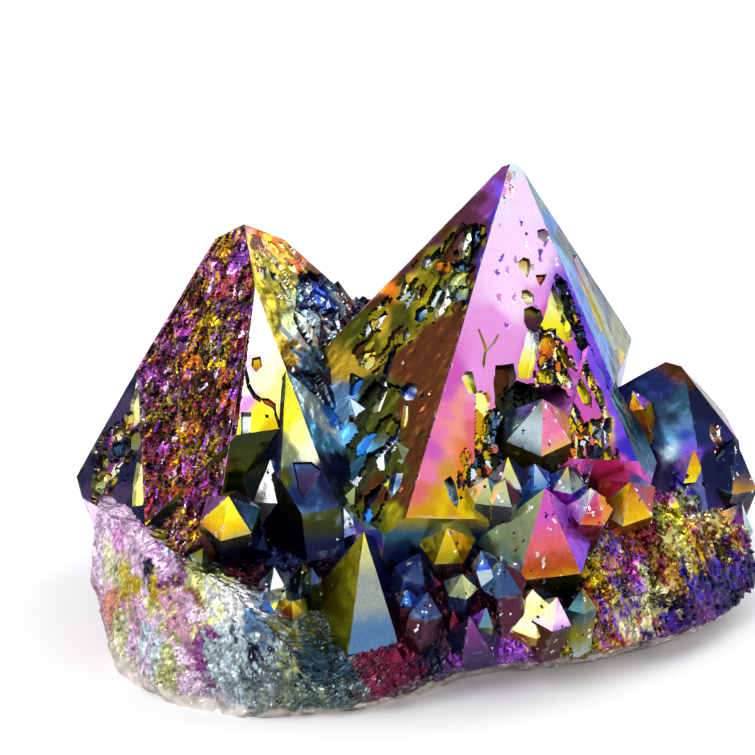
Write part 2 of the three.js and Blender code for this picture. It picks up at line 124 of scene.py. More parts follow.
def grains(points, width, seed=SEED):
    """For each point, how near it is to the middle of its grain (1 there, 0 between grains), and the grain's
    number, from -1 to 1."""
    here = points / width
    cell = np.floor(here).astype(np.int64)
    best = np.full(len(points), 9.0)
    second = best
    number = np.zeros(len(points))
    for step in product((-1, 0, 1), repeat=3):
        near = cell + np.array(step)
        shift = np.stack([lattice_value(near, seed + k) for k in range(3)], axis=1)
        away = np.linalg.norm(near + 0.5 + 0.42 * shift - here, axis=1)
        closer = away < best
        second = np.where(closer, best, np.minimum(second, away))
        number = np.where(closer, lattice_value(near, seed + 7), number)
        best = np.where(closer, away, best)
    return np.clip(second - best, 0, 1), number


def smooth(x):
    return x * x * (3 - 2 * x)


def smoothstep(x):
    return smooth(np.clip(x, 0, 1))


def blend(a, b, t):
    return a + (b - a) * t


def scrambled(number, times):
    """Another number from 0 to 1, with nothing to tell from the first."""
    return np.mod(number * times, 1)


# ---- Crystals, as the frame has them --------------------------------------------------------------------

# The main crystals: where the tip is, how far and which way the crystal leans, and its turn about its own
# axis; then for each of the six sides how far the pyramid face is tilted, turned and dropped from the tip,
# and how far out the prism side stands. Cuts are broken sides: which way each faces and a point on it.
TALL = dict(
    tip=[16.8, 10, 56.4], lean=10, heading=-10, twist=47,
    tilt=[0, 0, 6.4, 0, 0, -0.9], turn=[0, 0, -3, 0, 0, 0.3],
    drop=[-1.4, -0.6, -1.7, -0.5, -0.2, -1.6], reach=[19, 18, 22, 30, 28, 19], root=42,
)
LEFT = dict(
    tip=[-16.9, 6, 51.2], lean=6, heading=-162, twist=39,
    tilt=[2, 0, 5.8, 3, -3, 4], turn=[-3.5, 0, 4.8, 2, 0, -3.8],
    drop=[-3.6, 0.4, -3.4, -4.2, -0.4, 1.6], reach=[20, 18, 22, 25.2, 18.9, 24], root=38,
    cuts=[([-0.49, -0.61, 0.58], [-21.85, -5.9, 32.32]), ([-0.92, -0.1, -0.38], [-37.4, -6, 18.8])],
)
RIGHT = dict(
    tip=[37.2, 8, 31.4], lean=13, heading=-66, twist=68,
    tilt=[0, 0, -8, 5, -2, -4], turn=[0, 0, -1, -2, 1, 2],
    drop=[0, 0, 0, 1.1, -1.6, -1.5], reach=[8, 8, 8, 11, 14, 10], root=24,
)
ARROW = dict(
    tip=[-1.6, -21, 20.2], lean=27, heading=-102, twist=36, tilt=[0, 0, 4, 0, -4, 4],
    turn=[0, 0, 2.5, 1.5, -0.5, -3.5], reach=[6, 6, 6, 9.5, 9.5, 7], root=20,
)
LEFT_PLATE = {
    **LEFT,
    "drop": [-3.4, 0.6, -2.1, -2, -0.3, 1.8],
    "reach": [20, 18, 21.8, 25, 24.8, 24],
    "cuts": [
        ([-0.49, -0.61, 0.58], [-21.82, -5.85, 32.28]),
        ([-0.92, -0.1, -0.38], [-37.2, -6, 18.9]),
        ([0.99, -0.1, -0.09], [-15.5, -2.3, 41.6]),
    ],
}


def grown_on(host, tip, reach, root):
    """A smaller crystal parallel to its host."""
    return {**host, "tip": tip, "reach": reach, "root": root, "drop": [0] * SIDES, "cuts": []}


LEFT_SPUR = grown_on(LEFT, [-11.1, -7.6, 35.7], [6, 6, 6, 7, 12, 9], 20)
TALL_SPUR = grown_on(TALL, [26.2, -0.6, 36.5], [8, 6, 6, 9, 9, 11.5], 26)
MAIN_CRYSTALS = (TALL, LEFT, RIGHT, ARROW, LEFT_PLATE, LEFT_SPUR, TALL_SPUR)

# Smaller points: x, y, z of the tip, lean, heading, twist, radius and root, then the film on each pyramid
# face that is given one, as "number:top>foot", and on the prism below.
POINTS = {
    "orange": (19.8, -19, 25, 24, -78, 42, 6.6, 18,
        "2:steel 3:sage>greygreen>deepteal 4:magenta>magenta>rose>rust>amber 5:magenta>orchid>violet",
        "moss"),
    "pink": (19.8, -12, 33.6, 27, -80, 3, 4, 14,
        "0:pink>gold 3:charcoal>steel 4:greygreen>mist>charcoal 5:pink>pink>gold", "olive>charcoal"),
    "spikeHigh": (15.5, -16.5, 28, 15, -115, 26, 2.4, 9,
        "3:charcoal>steel 4:lemon>straw>mist 5:ink 0:ink", "steel"),
    "spikeLeft": (13, -18, 25.9, 27, -90, 21, 2, 9, "2:ash 3:straw 4:straw>sage 5:steel", "ash"),
    "spikeRight": (15, -19, 26.1, 27, -90, 22, 2, 9, "3:straw 4:straw>ash 5:maroon 2:cream", "ash>steel"),
    "slateUpper": (18.7, -15.5, 26.7, 22, -91, 0, 2, 9, "0:cobalt 4:azure 5:mist>azure", "orchid"),
    "strawUpper": (22.8, -15, 26.2, 24, -86, 13, 2, 9, "0:ink 3:steel 4:gold>ash>mist 5:ink>ash", "orchid"),
    "shardPale": (25.4, -16.5, 24, 22, -91, 46, 1.8, 9, "2:teal 3:mist 4:cream 5:straw", "teal"),
    "shardRed": (26, -16.8, 23.8, 28, -68, 35, 2.6, 9,
        "3:mist>plum 4:magenta>crimson>orange 5:rose>orange>amber", "wine>ink"),
    "goldLedge": (30.4, -14, 23.7, 41, -88, 52, 3.4, 9,
        "0:grape 1:crimson 2:crimson>rust 3:gold>gold>straw 4:rust>amber>gold 5:plum>rust", "amber>maroon"),
    "hexagon": (8.2, -22, 21.2, 44, -91, 33, 3, 9,
        "0:sage 1:sage 2:ash 3:olive 4:gold>olive 5:amber", "ash>navy"),
    "slateTriangle": (5, -22, 18, 17, -44, 27, 2.2, 9, "3:navy 4:navy>slate 5:ink", "slate>maroon"),
    "slateLow": (5.9, -25, 14.3, 16, -58, 6, 2, 9, "0:maroon 3:steel>navy 4:slate 5:dusk>slate", "maroon"),
    "slateTiny": (3.5, -24.5, 14.4, 21, -91, 22, 1.2, 9, "3:dusk 4:azure 5:cobalt", "maroon"),
    "jagged": (9.9, -24, 16.2, 28, -89, 16, 1.8, 9,
        "0:steel 2:steel 3:ash>sage 4:sage>greygreen 5:straw", "slate>dusk"),
    "needlePair": (12.2, -22, 18.4, 17, -156, 22, 1.5, 9,
        "0:deepteal 3:cobalt>mist 4:steel>cobalt 5:navy", "mist>slate"),
    "dusk": (14.6, -23, 17.4, 16, -114, 43, 2.6, 9, "3:steel>slate 4:slate 5:maroon", "maroon"),
    "dome": (10.8, -25, 11.2, 31, -105, 38, 3, 7, "2:dusk 3:dusk>navy 4:plum>dusk 5:dusk", "dusk>navy"),
    "domeSide": (12.8, -24.5, 12.1, 25, -80, 34, 1.5, 7,
        "2:dusk 3:orchid>dusk 4:steel>teal 5:maroon", "greygreen"),
    "butter": (18.3, -23.5, 14, 34, -92, 7, 3.6, 9,
        "0:deepteal 3:cream 4:cream>butter>cream>lemon 5:cream>butter>amber", "amber>ash"),
    "blossom": (21.2, -23.8, 13.1, 25, -64, 59, 2.4, 9,
        "2:cream 3:cream>cream>lilac 4:mauve>lilac>orchid 5:ink", "umber>maroon"),
    "tealLow": (24.3, -21.5, 13.2, 14, -76, 11, 1.8, 9,
        "3:black 4:deepteal>teal 5:olive>greygreen", "deepteal>olive>mist"),
    "greyYellow": (1.4, -19.5, 20, 28, -89, 25, 2.6, 9,
        "2:gold 3:lemon>straw 4:ash>mist>steel 5:steel", "navy"),
    "white": (-4.6, -17.5, 22.7, 29, -89, 55, 2.8, 14,
        "2:bottle 3:bottle>moss 4:ice>white 5:ice", "bottle>ice"),
    "whiteTwin": (-5.5, -15, 23.9, 19, -103, 31, 1.9, 9,
        "3:straw>amber 4:straw>violet>ash 5:dusk", "straw>ice"),
    "lozenge": (-12.8, -15, 27, 35, -93, 25, 3.4, 12, "2:ink 3:bottle>slate 4:white 5:sky>moss", "white"),
    "indigo": (-6.7, -13.5, 25.8, 35, -90, 53, 3, 9,
        "2:steel>navy 3:navy>slate 4:dusk>slate 5:dusk>steel", "navy>dusk"),
    "olivePlate": (2.2, -14, 29, 29, -125, 12, 4, 9, "0:sage 3:moss 4:moss 5:greygreen>moss", "moss"),
    "blueFacet": (-3.4, -6, 31.5, 27, -144, 2, 3.4, 9, "0:steel 4:mist 5:ice", "deepteal"),
    "whiteSliver": (0.1, -4, 31.2, 31, -115, 50, 1.6, 9, "3:cream 4:white>mist 5:ink", "ink"),
    "oliveBand": (-2.6, -16, 24, 40, -62, 10, 3, 12,
        "2:maroon 3:moss 4:sage>bottle 5:greygreen>bottle", "bottle>ink"),
    "blueLow": (-4.9, -8, 29.7, 30, -70, 20, 2.4, 9, "3:cobalt 4:azure 5:sky", "navy"),
    "blueRidge": (-5.9, -3, 32.2, 16, -88, 0, 2, 9, "3:ink 4:dusk 5:azure", "ink"),
    "saddleSmall": (-5, 8, 38, 26, -89, 0, 1.4, 9, "4:ice 5:ink", "mist"),
    "yellowStep": (-17.5, -21, 24.8, 34, -88, 47, 3.2, 12,
        "0:dusk 1:amber 2:plum 3:lemon>gold>rust 4:lemon>lemon>gold>greygreen 5:dusk>slate>sky",
        "greygreen>navy>maroon"),
    "whiteChip": (-12.2, -22.5, 16.4, 21, -88, 47, 1.6, 9,
        "2:dusk 3:bottle>navy 4:white 5:dusk>mist", "ice>steel"),
    "oliveLow": (-8.9, -19, 15.3, 22, -115, 36, 2.4, 9,
        "0:dusk 3:bottle>deepteal 4:moss>navy 5:umber", "moss"),
    "paleLow": (-13.4, -24, 13.9, 28, -86, 44, 1.6, 9,
        "0:sky 2:mist 3:steel>mist 4:maroon>azure 5:sky>ice", "mist>steel"),
    "goldChip": (-10.1, -24, 12.7, 44, -88, 4, 1.8, 9,
        "0:straw>bottle 1:steel 2:steel>gold 3:gold>amber 4:gold>rust>moss 5:gold>ink", "greygreen>navy"),
    "maroon": (-7.8, -21, 15.6, 15, -90, 0, 1.2, 9, "0:dusk 3:moss 4:bottle 5:slate", "bottle"),
    "strip": (32.7, 6, 28, 17, -170, 20, 1.6, 13,
        "3:lilac>gold 4:gold>orange 5:indigo>plum", "gold>orange>amber>rose"),
    "goldFoot": (40.3, 2, 21.5, 24, -80, 40, 2.6, 9,
        "2:mauve>slate 3:mauve>azure 4:orange>gold>lemon 5:pink>mauve", "cobalt"),
    "farRight": (46, 5, 21.9, 17, -20, 10, 4.4, 16, "3:ink 4:ink 5:ink>navy>amber", "ink>umber>amber"),
    "farLow": (46.5, 0, 15, 24, -30, 35, 3, 9, "2:ink 3:ink>amber 4:ink>plum>sky 5:mist>teal", "plum>indigo"),
    "backMiddle": (3, 28, 33, 22, 95, 20, 7.5, 24, "", "navy"),
    "backLeft": (-19, 25, 34, 20, 120, 40, 8, 26, "", "plum"),
    "backFarLeft": (-31, 19, 23, 26, 145, 15, 5.5, 18, "", "indigo"),
    "backRight": (26, 27, 29, 22, 70, 5, 8, 22, "", "deepteal"),
    "backFarRight": (40, 19, 20, 28, 45, 30, 5.5, 16, "", "plum"),
    "backLow": (12, 33, 18, 42, 88, 50, 4.5, 12, "", "dusk"),
    "backLowLeft": (-9, 31, 20, 38, 105, 10, 4.5, 12, "", "moss"),
}
UNSEEN_FILMS = (
    "violet>gold", "magenta>orange", "gold>teal", "azure>indigo", "teal>slate", "mauve>violet", "olive>steel",
    "amber>magenta",
)


def point_crystal(row):
    x, y, z, lean, heading, twist, radius, root = row[:8]
    return dict(tip=[x, y, z], lean=lean, heading=heading, twist=twist, reach=[radius] * SIDES, root=root)


def unit(v):
    v = np.asarray(v, float)
    return v / np.linalg.norm(v)


# The camera looks at the front, and the places of hollows and films there are drawn in its frame, in pixels
# to the right and down from the frame's corner, as in "537,230 545,229". Its reach is the focal length in
# pixels.
CAMERA_FRAME = 755
CAMERA_REACH = 2240
CAMERA_HEIGHT = 20 * DEG
CAMERA_DISTANCE = 280
CAMERA_TARGET = np.array([0, 0, 32.0])
CAMERA_RIGHT = np.array([1.0, 0, 0])
EAST, NORTH, DOWN = CAMERA_RIGHT, np.array([0, 1.0, 0]), np.array([0, 0, -1.0])
CAMERA_AHEAD = np.array([0, math.cos(CAMERA_HEIGHT), -math.sin(CAMERA_HEIGHT)])
CAMERA_UP = np.array([0, math.sin(CAMERA_HEIGHT), math.cos(CAMERA_HEIGHT)])
CAMERA_EYE = CAMERA_TARGET - CAMERA_DISTANCE * CAMERA_AHEAD


def sight_lines(spots):
    """Which way the camera looks to see each spot of its frame."""
    spots = np.array([spot.split(",") for spot in spots.split()], float)
    right, down = (spots - CAMERA_FRAME / 2).T / CAMERA_REACH
    return CAMERA_AHEAD + right[:, None] * CAMERA_RIGHT - down[:, None] * CAMERA_UP


class Plane:
    """A flat side of a crystal: what it is, its outward normal, the point that places on it are measured
    from, and the directions to the right and down as seen from outside."""

    def __init__(self, kind, number, normal, point, right, down):
        self.kind, self.number, self.normal = kind, number, normal
        self.point, self.right, self.down = np.asarray(point, float), right, down

    def place(self, points):
        away = points - self.point
        return np.stack([away @ self.right, away @ self.down], axis=1)

    def seen(self, spots):
        """The places on this side that the camera sees at spots of its frame."""
        sights = sight_lines(spots)
        reach = (self.point - CAMERA_EYE) @ self.normal / (sights @ self.normal)
        return self.place(CAMERA_EYE + sights * reach[:, None])

    def at(self, places, height=0.0):
        height = np.broadcast_to(height, len(places))[:, None]
        return self.point + places[:, :1] * self.right + places[:, 1:] * self.down + height * self.normal


def crystal_planes(crystal):
    lean, heading = crystal["lean"] * DEG, crystal["heading"] * DEG
    axis = np.array([math.sin(lean) * math.cos(heading), math.sin(lean) * math.sin(heading), math.cos(lean)])
    across = unit(EAST - axis[0] * axis)
    along = np.cross(axis, across)
    tip = np.array(crystal["tip"], float)
    tilt, turn, drop = (crystal.get(key, [0] * SIDES) for key in ("tilt", "turn", "drop"))

    def outward(degrees):
        angle = degrees * DEG
        return math.cos(angle) * across + math.sin(angle) * along

    def slanted(kind, number, normal, point):
        right, down = unit(np.cross(axis, normal)), unit(normal * (axis @ normal) - axis)
        return Plane(kind, number, normal, point, right, down)

    planes = []
    for i in range(SIDES):
        heading = crystal["twist"] + 60 * i
        slope = (PYRAMID_SLOPE + tilt[i]) * DEG
        normal = outward(heading + turn[i]) * math.sin(slope) + axis * math.cos(slope)
        planes.append(slanted("pyramid", i, normal, tip - axis * drop[i]))
        side = outward(heading)
        foot = tip + side * crystal["reach"][i]
        planes.append(Plane("prism", i, side, foot, unit(np.cross(axis, side)), -axis))
    planes.append(Plane("root", 0, -axis, tip - axis * crystal["root"], across, along))
    for k, (facing, at) in enumerate(crystal.get("cuts", [])):
        planes.append(slanted("cut", k, unit(facing), at))
    planes.append(Plane("ground", 0, DOWN, [0, 0, 0], EAST, NORTH))
    return planes


def clipped(corners, plane):
    """What is left of a flat outline behind a plane."""
    tiny = 1e-7
    over = [corner @ plane.normal - plane.normal @ plane.point for corner in corners]
    out = []
    for k in range(len(corners)):
        p, q, a, b = corners[k], corners[k - len(corners) + 1], over[k], over[k - len(corners) + 1]
        if a <= tiny:
            out.append(p)
        if (a < -tiny and b > tiny) or (a > tiny and b < -tiny):
            out.append(p + (q - p) * (a / (a - b)))
    return out


def crystal_faces(crystal):
    """The crystal's sides, each with its corners in order as seen from outside."""
    planes = crystal_planes(crystal)
    far, least_area = 200, 1e-3
    faces = []
    for plane in planes:
        square = ((-far, -far), (far, -far), (far, far), (-far, far))
        corners = [plane.point + plane.right * x + plane.down * y for x, y in square]
        for other in planes:
            if other is not plane:
                corners = clipped(corners, other)
        if len(corners) < 3:
            continue
        fans = range(1, len(corners) - 1)
        area = sum(np.cross(corners[k] - corners[0], corners[k + 1] - corners[0]) for k in fans)
        if np.linalg.norm(area) >= least_area:
            plane.corners = np.array(corners if area @ plane.normal > 0 else corners[::-1])
            faces.append(plane)
    return faces


def inside_crystal(points, crystal, margin=0.0):
    within = np.ones(len(points), bool)
    for plane in crystal_planes(crystal):
        within &= (points - plane.point) @ plane.normal < -margin
    return within


# ---- Outlines on a flat side ----------------------------------------------------------------------------


def loop_edges(outline):
    """The edges of a closed outline, each as its two ends."""
    return zip(outline, np.roll(outline, -1, axis=0))


def lifted(places, level):
    """Places on a side as points in space, for noise that only this level has."""
    return np.c_[places, np.full(len(places), level)]


def depth_inside(places, outline):
    """How far each place is inside the outline, and below 0 how far outside it."""
    outline = np.asarray(outline, float)
    nearest = np.full(len(places), 1e9)
    crossings = np.zeros(len(places), int)
    for a, b in loop_edges(outline):
        edge = b - a
        t = np.clip(((places - a) @ edge) / max(edge @ edge, 1e-12), 0, 1)
        nearest = np.minimum(nearest, np.linalg.norm(places - a - t[:, None] * edge, axis=1))
        spans = (a[1] > places[:, 1]) != (b[1] > places[:, 1])
        cross_at = a[0] + (places[:, 1] - a[1]) * edge[0] / (edge[1] if edge[1] else 1e-12)
        crossings += spans & (places[:, 0] < cross_at)
    return np.where(crossings % 2 == 1, nearest, -nearest)


def turning(outline):
    a, b = outline, np.roll(outline, -1, axis=0)
    return 1 if (a[:, 0] * b[:, 1] - b[:, 0] * a[:, 1]).sum() > 0 else -1


def inset(outline, by):
    """The outline moved inwards all round."""
    sign, sharpest = turning(outline), 0.45
    result = []
    for before, here, after in zip(np.roll(outline, 1, axis=0), outline, np.roll(outline, -1, axis=0)):
        d1, d2 = unit(here - before), unit(after - here)
        n1, n2 = sign * np.array([-d1[1], d1[0]]), sign * np.array([-d2[1], d2[0]])
        middle = unit(n1 + n2) if np.linalg.norm(n1 + n2) > 1e-6 else n1
        result.append(here + middle * by / max(sharpest, middle @ n1))
    return np.array(result)


def wobbled(outline, step, amount, seed):
    """The outline with small natural irregularities."""
    points = []
    for a, b in loop_edges(outline):
        count = max(1, round(np.linalg.norm(b - a) / step))
        points += [a + (b - a) * k / count for k in range(count)]
    points = np.array(points)
    probe = lifted(points * 1.7, seed * 3.1)
    return points + amount * np.stack([noise(probe, SEED + 1), noise(probe, SEED + 2)], axis=1)


def ramp(names, t):
    """Colours along a list such as "gold>orange>magenta"."""
    stops = np.array([film(name) for name in names.split(">")])
    if len(stops) == 1:
        return np.repeat(stops, len(t), axis=0)
    place = np.clip(t, 0, 1) * (len(stops) - 1)
    k = np.minimum(place.astype(int), len(stops) - 2)
    part = smoothstep(place - k)[:, None]
    return stops[k] * (1 - part) + stops[k + 1] * part


def wandered(points, width, gain, seed):
    """A rough shift for each point, the same for points that are near each other."""
    probe = points if points.shape[1] == 3 else lifted(points, 0)
    shift = [rough_noise(probe + 31 * k, width, 3, gain, SEED + seed) for k in range(points.shape[1])]
    return np.stack(shift, axis=1)


def patched(places, patches, sharpness=3.0, soft=0.03):
    """Colours blended between patches (film name to places). Soft, in mm, keeps the blend from peaking."""
    centres = np.array([spot for spots in patches.values() for spot in spots], float)
    colours = np.array([film(name) for name, spots in patches.items() for _ in spots])
    away = ((places[:, None, :] - centres[None]) ** 2).sum(2) + soft**2
    weight = away ** (-sharpness)
    weight /= weight.sum(1, keepdims=True)
    return weight @ colours


class Hollow:
    """A flat-floored pit (or, with a smaller depth inside a deeper one, a step) etched into a flat side. Its
    wall film, mostly dark, is painted shade on the walls.
    """

    rim, wobble = 0.22, 0.1

    def __init__(self, depth, floor, wall, outline):
        self.depth, self.floor, self.wall = depth, floor, wall
        self.outline = wobbled(outline, 0.7, self.wobble, len(outline) + depth)
        self.low, self.high = self.outline.min(axis=0), self.outline.max(axis=0)

    def near(self, places):
        return ((places > self.low - 0.5) & (places < self.high + 0.5)).all(axis=1)


class Etch:
    """Steps etched into a flat side within an outline: upright cells, each with its own depth and film.
    The film "-" is the side's own."""

    def __init__(
        self, outline, films, size=(0.6, 1.4), depth=(0.2, 0.8), share=0.7, tone=(0.55, 1.15), seam=0.0,
        turn=0,
    ):
        self.outline, self.films, self.size, self.depth = outline, films.split(), np.array(size), depth
        self.share, self.tone, self.seam, self.turn = share, tone, seam, turn

    def cells(self, places, seed):
        """Where the steps are, how deep each is, and a number from 0 to 1 for each, or -1 on the seams."""
        shift = [rough_noise(lifted(places, 8.1 + k), 1.1, 2, 0.6, seed) for k in range(2)]
        moved = (places + 0.35 * np.stack(shift, axis=1)) / self.size
        middle, number = grains(lifted(moved, 0.5 + self.turn), 1.0, seed)
        number = 0.5 + 0.5 * number
        ragged = depth_inside(places, self.outline) + 0.6 * (scrambled(number, 7.3) - 0.35)
        pick = np.where(middle < self.seam, -1, scrambled(number, 37.7))
        return (ragged > 0) & (number < self.share), blend(*self.depth, scrambled(number, 17.1)), pick

    def colours(self, pick, base):
        """The film of each cell, and black on the seams between them, painted shade in the cracks between
        steps.
        """
        k = np.clip((pick * len(self.films)).astype(int), 0, len(self.films) - 1)
        table = np.array([film(name) if name != "-" else np.zeros(3) for name in self.films])
        own = np.array([name == "-" for name in self.films])[k]
        colours = np.where(own[:, None], base, table[k])
        colours = colours * blend(*self.tone, scrambled(pick, 91.3))[:, None]
        # Painted shade: black in the cracks between the steps.
        return np.where((pick < 0)[:, None], film("black"), colours)


class Side:
    """How one flat side of a crystal is finished."""

    def __init__(
        self, paint, spacing=0.8, relief=None, hollows=(), etch=(), flecks="white", fleck=0.06,
        crevice=0.1, glitter=0.25, worn=0.0, fade=0.35,
    ):
        self.paint, self.spacing, self.relief, self.hollows, self.etch = paint, spacing, relief, hollows, etch
        # The crevices darken the film in the shader as painted shade.
        # The edge setting paints a pale highlight in streaks along the side's rim.
        self.flecks, self.finish, self.worn, self.fade = flecks, (crevice, fleck, glitter), worn, fade


def stops_paint(stops, sharpness=5.0, wander=0.35):
    def paint(places, plane):
        return patched(places + wander * wandered(places, 3.0, 0.6, 0), stops, sharpness, soft=1.1)
    return paint


def fine_waves(amount, width=1.6, stretch=(1.0, 1.0)):
    def relief(places, plane):
        return amount * rough_noise(lifted(places / np.array(stretch), 3.7), width, 3, 0.55, SEED + 20)
    return relief


class Drawn:
    """What is drawn in the camera's frame for one side of a crystal: patches of film, then hollows (depth,
    floor, wall film as painted shade, and outline) and etched steps (outline, films and the rest that Etch
    takes)."""

    def __init__(self, crystal, number, films, hollows=(), steps=(), kind="pyramid"):
        planes = {(side.kind, side.number): side for side in crystal_planes(crystal)}
        plane = planes[kind, number]
        self.films = {name: plane.seen(spots) for name, spots in films.items()}
        self.hollows = [Hollow(*row, plane.seen(outline)) for *row, outline in hollows]
        self.etch = [Etch(plane.seen(outline), *row) for outline, *row in steps]

    def side(self, spacing, relief, stops=(), **finish):
        """The side with what is drawn here. Stops is how sharply the films part and how far they wander."""
        return Side(stops_paint(self.films, *stops), spacing, relief, self.hollows, self.etch, **finish)


# ---- The film and the etching of the main crystals, as the camera sees them -----------------------------

TALL_FRONT = Drawn(TALL, 4, {
    "ice": "512,176", "lilac": "520,186 525,265 515,300", "mauve": "498,330 476,372 535,300 472,392",
    "magenta": "460,376 452,392 436,450 550,312 560,345 585,400", "peach": "463,396 458,414 450,430 446,450",
    "pink": "446,412 468,412 441,432 430,470 573,372", "rose": "473,426 468,450 423,490 600,430",
    "orange": "457,450 464,470", "amber": "440,470 434,492 458,492 428,510 452,512",
    "gold": "446,492 440,512 466,505", "violet": "566,302 572,318 589,358 598,380 606,398",
    "indigo": "575,312 604,380", "ink": "520,430",
}, [
    (0.25, "plum>ash", "plum", "537,230 545,229 553,236 551,242 543,241 538,237"),
    (0.5, "amber>cream", "umber", "519,261 524,257 530,259 531,266 527,278 519,267"),
    (0.5, "coral>rust", "ink", "535,275 547,274 545,281 540,287"),
    (0.6, "amber>cream>rust", "umber", "522,291 528,289 534,296 534,302 528,305 522,300"),
    (0.9, "olive>maroon>ink", "umber", "525,309 532,306 541,310 545,324 538,332 527,328 524,320"),
    (1.1, "white>butter>lemon>gold", "ink",
     "553,282 566,312 573,336 568,344 560,338 556,328 547,332 542,326"),
    (1.1, "white>white>butter>lemon>gold", "black", "529,326 537,330 539,346 531,378 519,379 518,368"),
    (0.8, "gold>orange>gold", "ink", "545,335 553,332 558,342 556,352 542,366 539,356 541,344"),
    (1, "lemon>gold", "ink", "539,370 548,366 555,372 554,382 540,382"),
    (1, "butter>gold>lemon>gold", "black", "560,340 592,398 592,408 583,404 567,366 559,352"),
    (0.8, "gold>lemon", "umber", "580,359 588,363 588,374 581,373"),
    (0.5, "charcoal>olive>ink", "black", "560,276 565,282 578,328 608,414 604,420 558,284"),
    (0.25, "olive>gold", "umber", "478,329 480,329 488,349 485,351"),
    (0.25, "amber>straw", "umber", "498,334 500,335 489,351 487,350"),
    (0.3, "lemon>amber", "umber", "485,349 488,349 484,369 482,364"),
    (0.9, "cream>lemon>butter", "ink", "461,377 466,371 472,372 478,392 469,394"),
    (1.2, "ink>mist>slate", "black", "444,480 450,476 455,484 459,500 457,508 450,500"),
    (1.6, "brown>umber>bottle", "umber", "496,365 514,363 516,376 513,400 506,409 495,402 493,384"),
    (2.4, "bottle>ink>black", "black",
     "516,380 534,386 556,385 566,390 579,422 573,436 560,452 530,466 508,462 498,446 502,420 514,404"),
], [
    ("505,171 516,170 513,188 505,206 499,206", "white ice gold lilac mauve orange white lilac", (0.3, 1),
     (0.05, 0.25), 0.6, (0.85, 1.05), 0.06),
    ("556,276 566,282 582,330 612,404 606,414 588,378 562,304",
     "charcoal ink black gold steel ink white black gold ink", (0.45, 1.1), (0.4, 1), 0.92, (0.6, 1.1), 0.06),
    ("487,420 514,384 534,388 556,387 572,404 584,422 606,418 636,440 640,500 573,505 507,520 480,505 "
     "468,480",
     "ink olive deepteal bottle ink amber ink steel black moss ice ink gold", (0.7, 1.5), (0.3, 1.4), 0.9,
     (0.5, 1.15), 0.1),
    ("540,328 556,330 577,366 574,392 560,384 540,384 534,374 540,350",
     "gold black butter ink orange white ink gold black lemon", (0.5, 1.5), (0.2, 0.7), 0.95, (0.8, 1.1),
     0.12),
    ("478,394 487,396 490,420 486,446 477,448", "gold orange amber gold peach butter", (1.4, 4), (0.1, 0.4),
     0.95, (0.9, 1.05)),
    ("488,410 503,412 504,430 497,446 487,448", "mist ice olive steel charcoal sage", (0.9, 2), (0.2, 0.6),
     0.95, (0.8, 1.1), 0.08),
    ("461,450 470,452 468,480 460,500 456,490", "gold rust orange amber ink gold", (0.5, 1.6), (0.1, 0.4),
     0.6, (0.8, 1.1), 0.1),
    ("500,215 545,225 570,275 520,330 500,330 490,260", "orchid mauve violet white mauve", (0.4, 0.9),
     (0.06, 0.2), 0.05),
])
TALL_LEFT = Drawn(TALL, 3, {
    "plum": "504,178 492,190 488,208", "violet": "498,188",
    "maroon": "480,200 452,216 430,240 402,268 485,228 479,246 468,225 452,250",
    "umber": "444,226 379,297 474,266 467,290 462,306 408,500 410,455 388,490",
    "brown": "415,254 392,278 434,330 407,358 412,518 412,405", "orange": "386,287",
    "indigo": "499,211 494,228 489,246 484,263 479,280", "grape": "474,297",
    "olive": "458,236 460,288 432,256 425,280 428,312 395,340 395,515", "greygreen": "458,272",
    "moss": "442,264 400,320 370,322 365,345 398,460 385,400 370,430 380,520",
    "bronze": "410,285 382,325 360,360", "bottle": "365,390 355,470", "steel": "355,400", "sky": "360,440",
}, [
    (0.7, "cream>white>butter", "umber", "463,229 468,227 470,238 464,258 458,258"),
    (0.8, "steel>ink>bottle", "ink", "470,226 478,223 480,232 478,258 468,262"),
    (0.6, "white", "ink", "473,232 479,240 476,243"),
    (0.8, "ink>ice>black", "black", "424,262 441,246 441,252 430,264 421,270"),
    (0.7, "white>ice", "black", "424,257 430,254 430,262 421,268"),
    (0.8, "black>steel>ink", "black", "448,262 462,260 474,264 466,270 452,270"),
    (0.3, "maroon>brown", "umber", "462,222 466,224 456,258 446,262 440,256"),
    (0.25, "amber>rust", "umber", "434,262 446,258 452,264 448,272 436,270"),
    (0.4, "olive>sage>steel", "umber", "450,272 458,266 467,270 469,286 464,298 456,302 449,292 447,280"),
    (0.8, "white>cream", "bottle", "443,278 446,280 451,302 433,320 434,306 442,290"),
    (0.7, "white>cream", "umber", "404,278 409,284 404,292 400,292"),
    (0.6, "white>straw", "olive", "415,288 420,284 418,296 412,302"),
    (0.7, "ice>steel>ink", "ink", "416,310 425,304 428,312 420,322 414,320"),
    (0.7, "white>ash", "ink", "402,330 408,326 410,336 403,342"),
    (0.5, "bottle>ink", "ink", "388,348 394,340 396,352 387,380 383,374"),
    (1, "white>cream", "black", "381,377 387,377 386,392 379,410 372,412 374,396"),
    (0.9, "ice>cobalt>white", "black", "401,388 408,382 416,384 417,392 413,400 406,400 400,395"),
    (0.4, "cream>gold", "umber", "404,404 408,402 408,420 404,430 401,424"),
    (0.5, "cream>olive", "umber", "396,412 399,408 398,420 394,422"),
    (0.8, "ice>white>steel>mist", "ink", "394,444 400,440 405,450 404,470 399,488 391,498 388,490 393,466"),
    (0.5, "gold>straw", "umber", "358,352 374,348 376,360 368,370 358,366"),
], [
    ("460,228 483,225 487,265 467,305 423,325 393,352 373,378 353,352 360,325 407,272",
     "olive bronze moss olive ink mist brown olive umber moss olive", (0.8, 1.9), (0.15, 0.6), 0.5,
     (0.7, 1.1), 0.08),
    ("352,375 398,388 402,420 385,500 370,540 345,470",
     "bottle moss deepteal steel olive ice ink moss bottle azure", (1.5, 3.2), (0.15, 0.9), 0.75),
    ("400,345 470,310 440,420 415,500 392,520 402,420", "rust umber white umber black", (0.3, 0.6),
     (0.05, 0.15), 0.03),
])
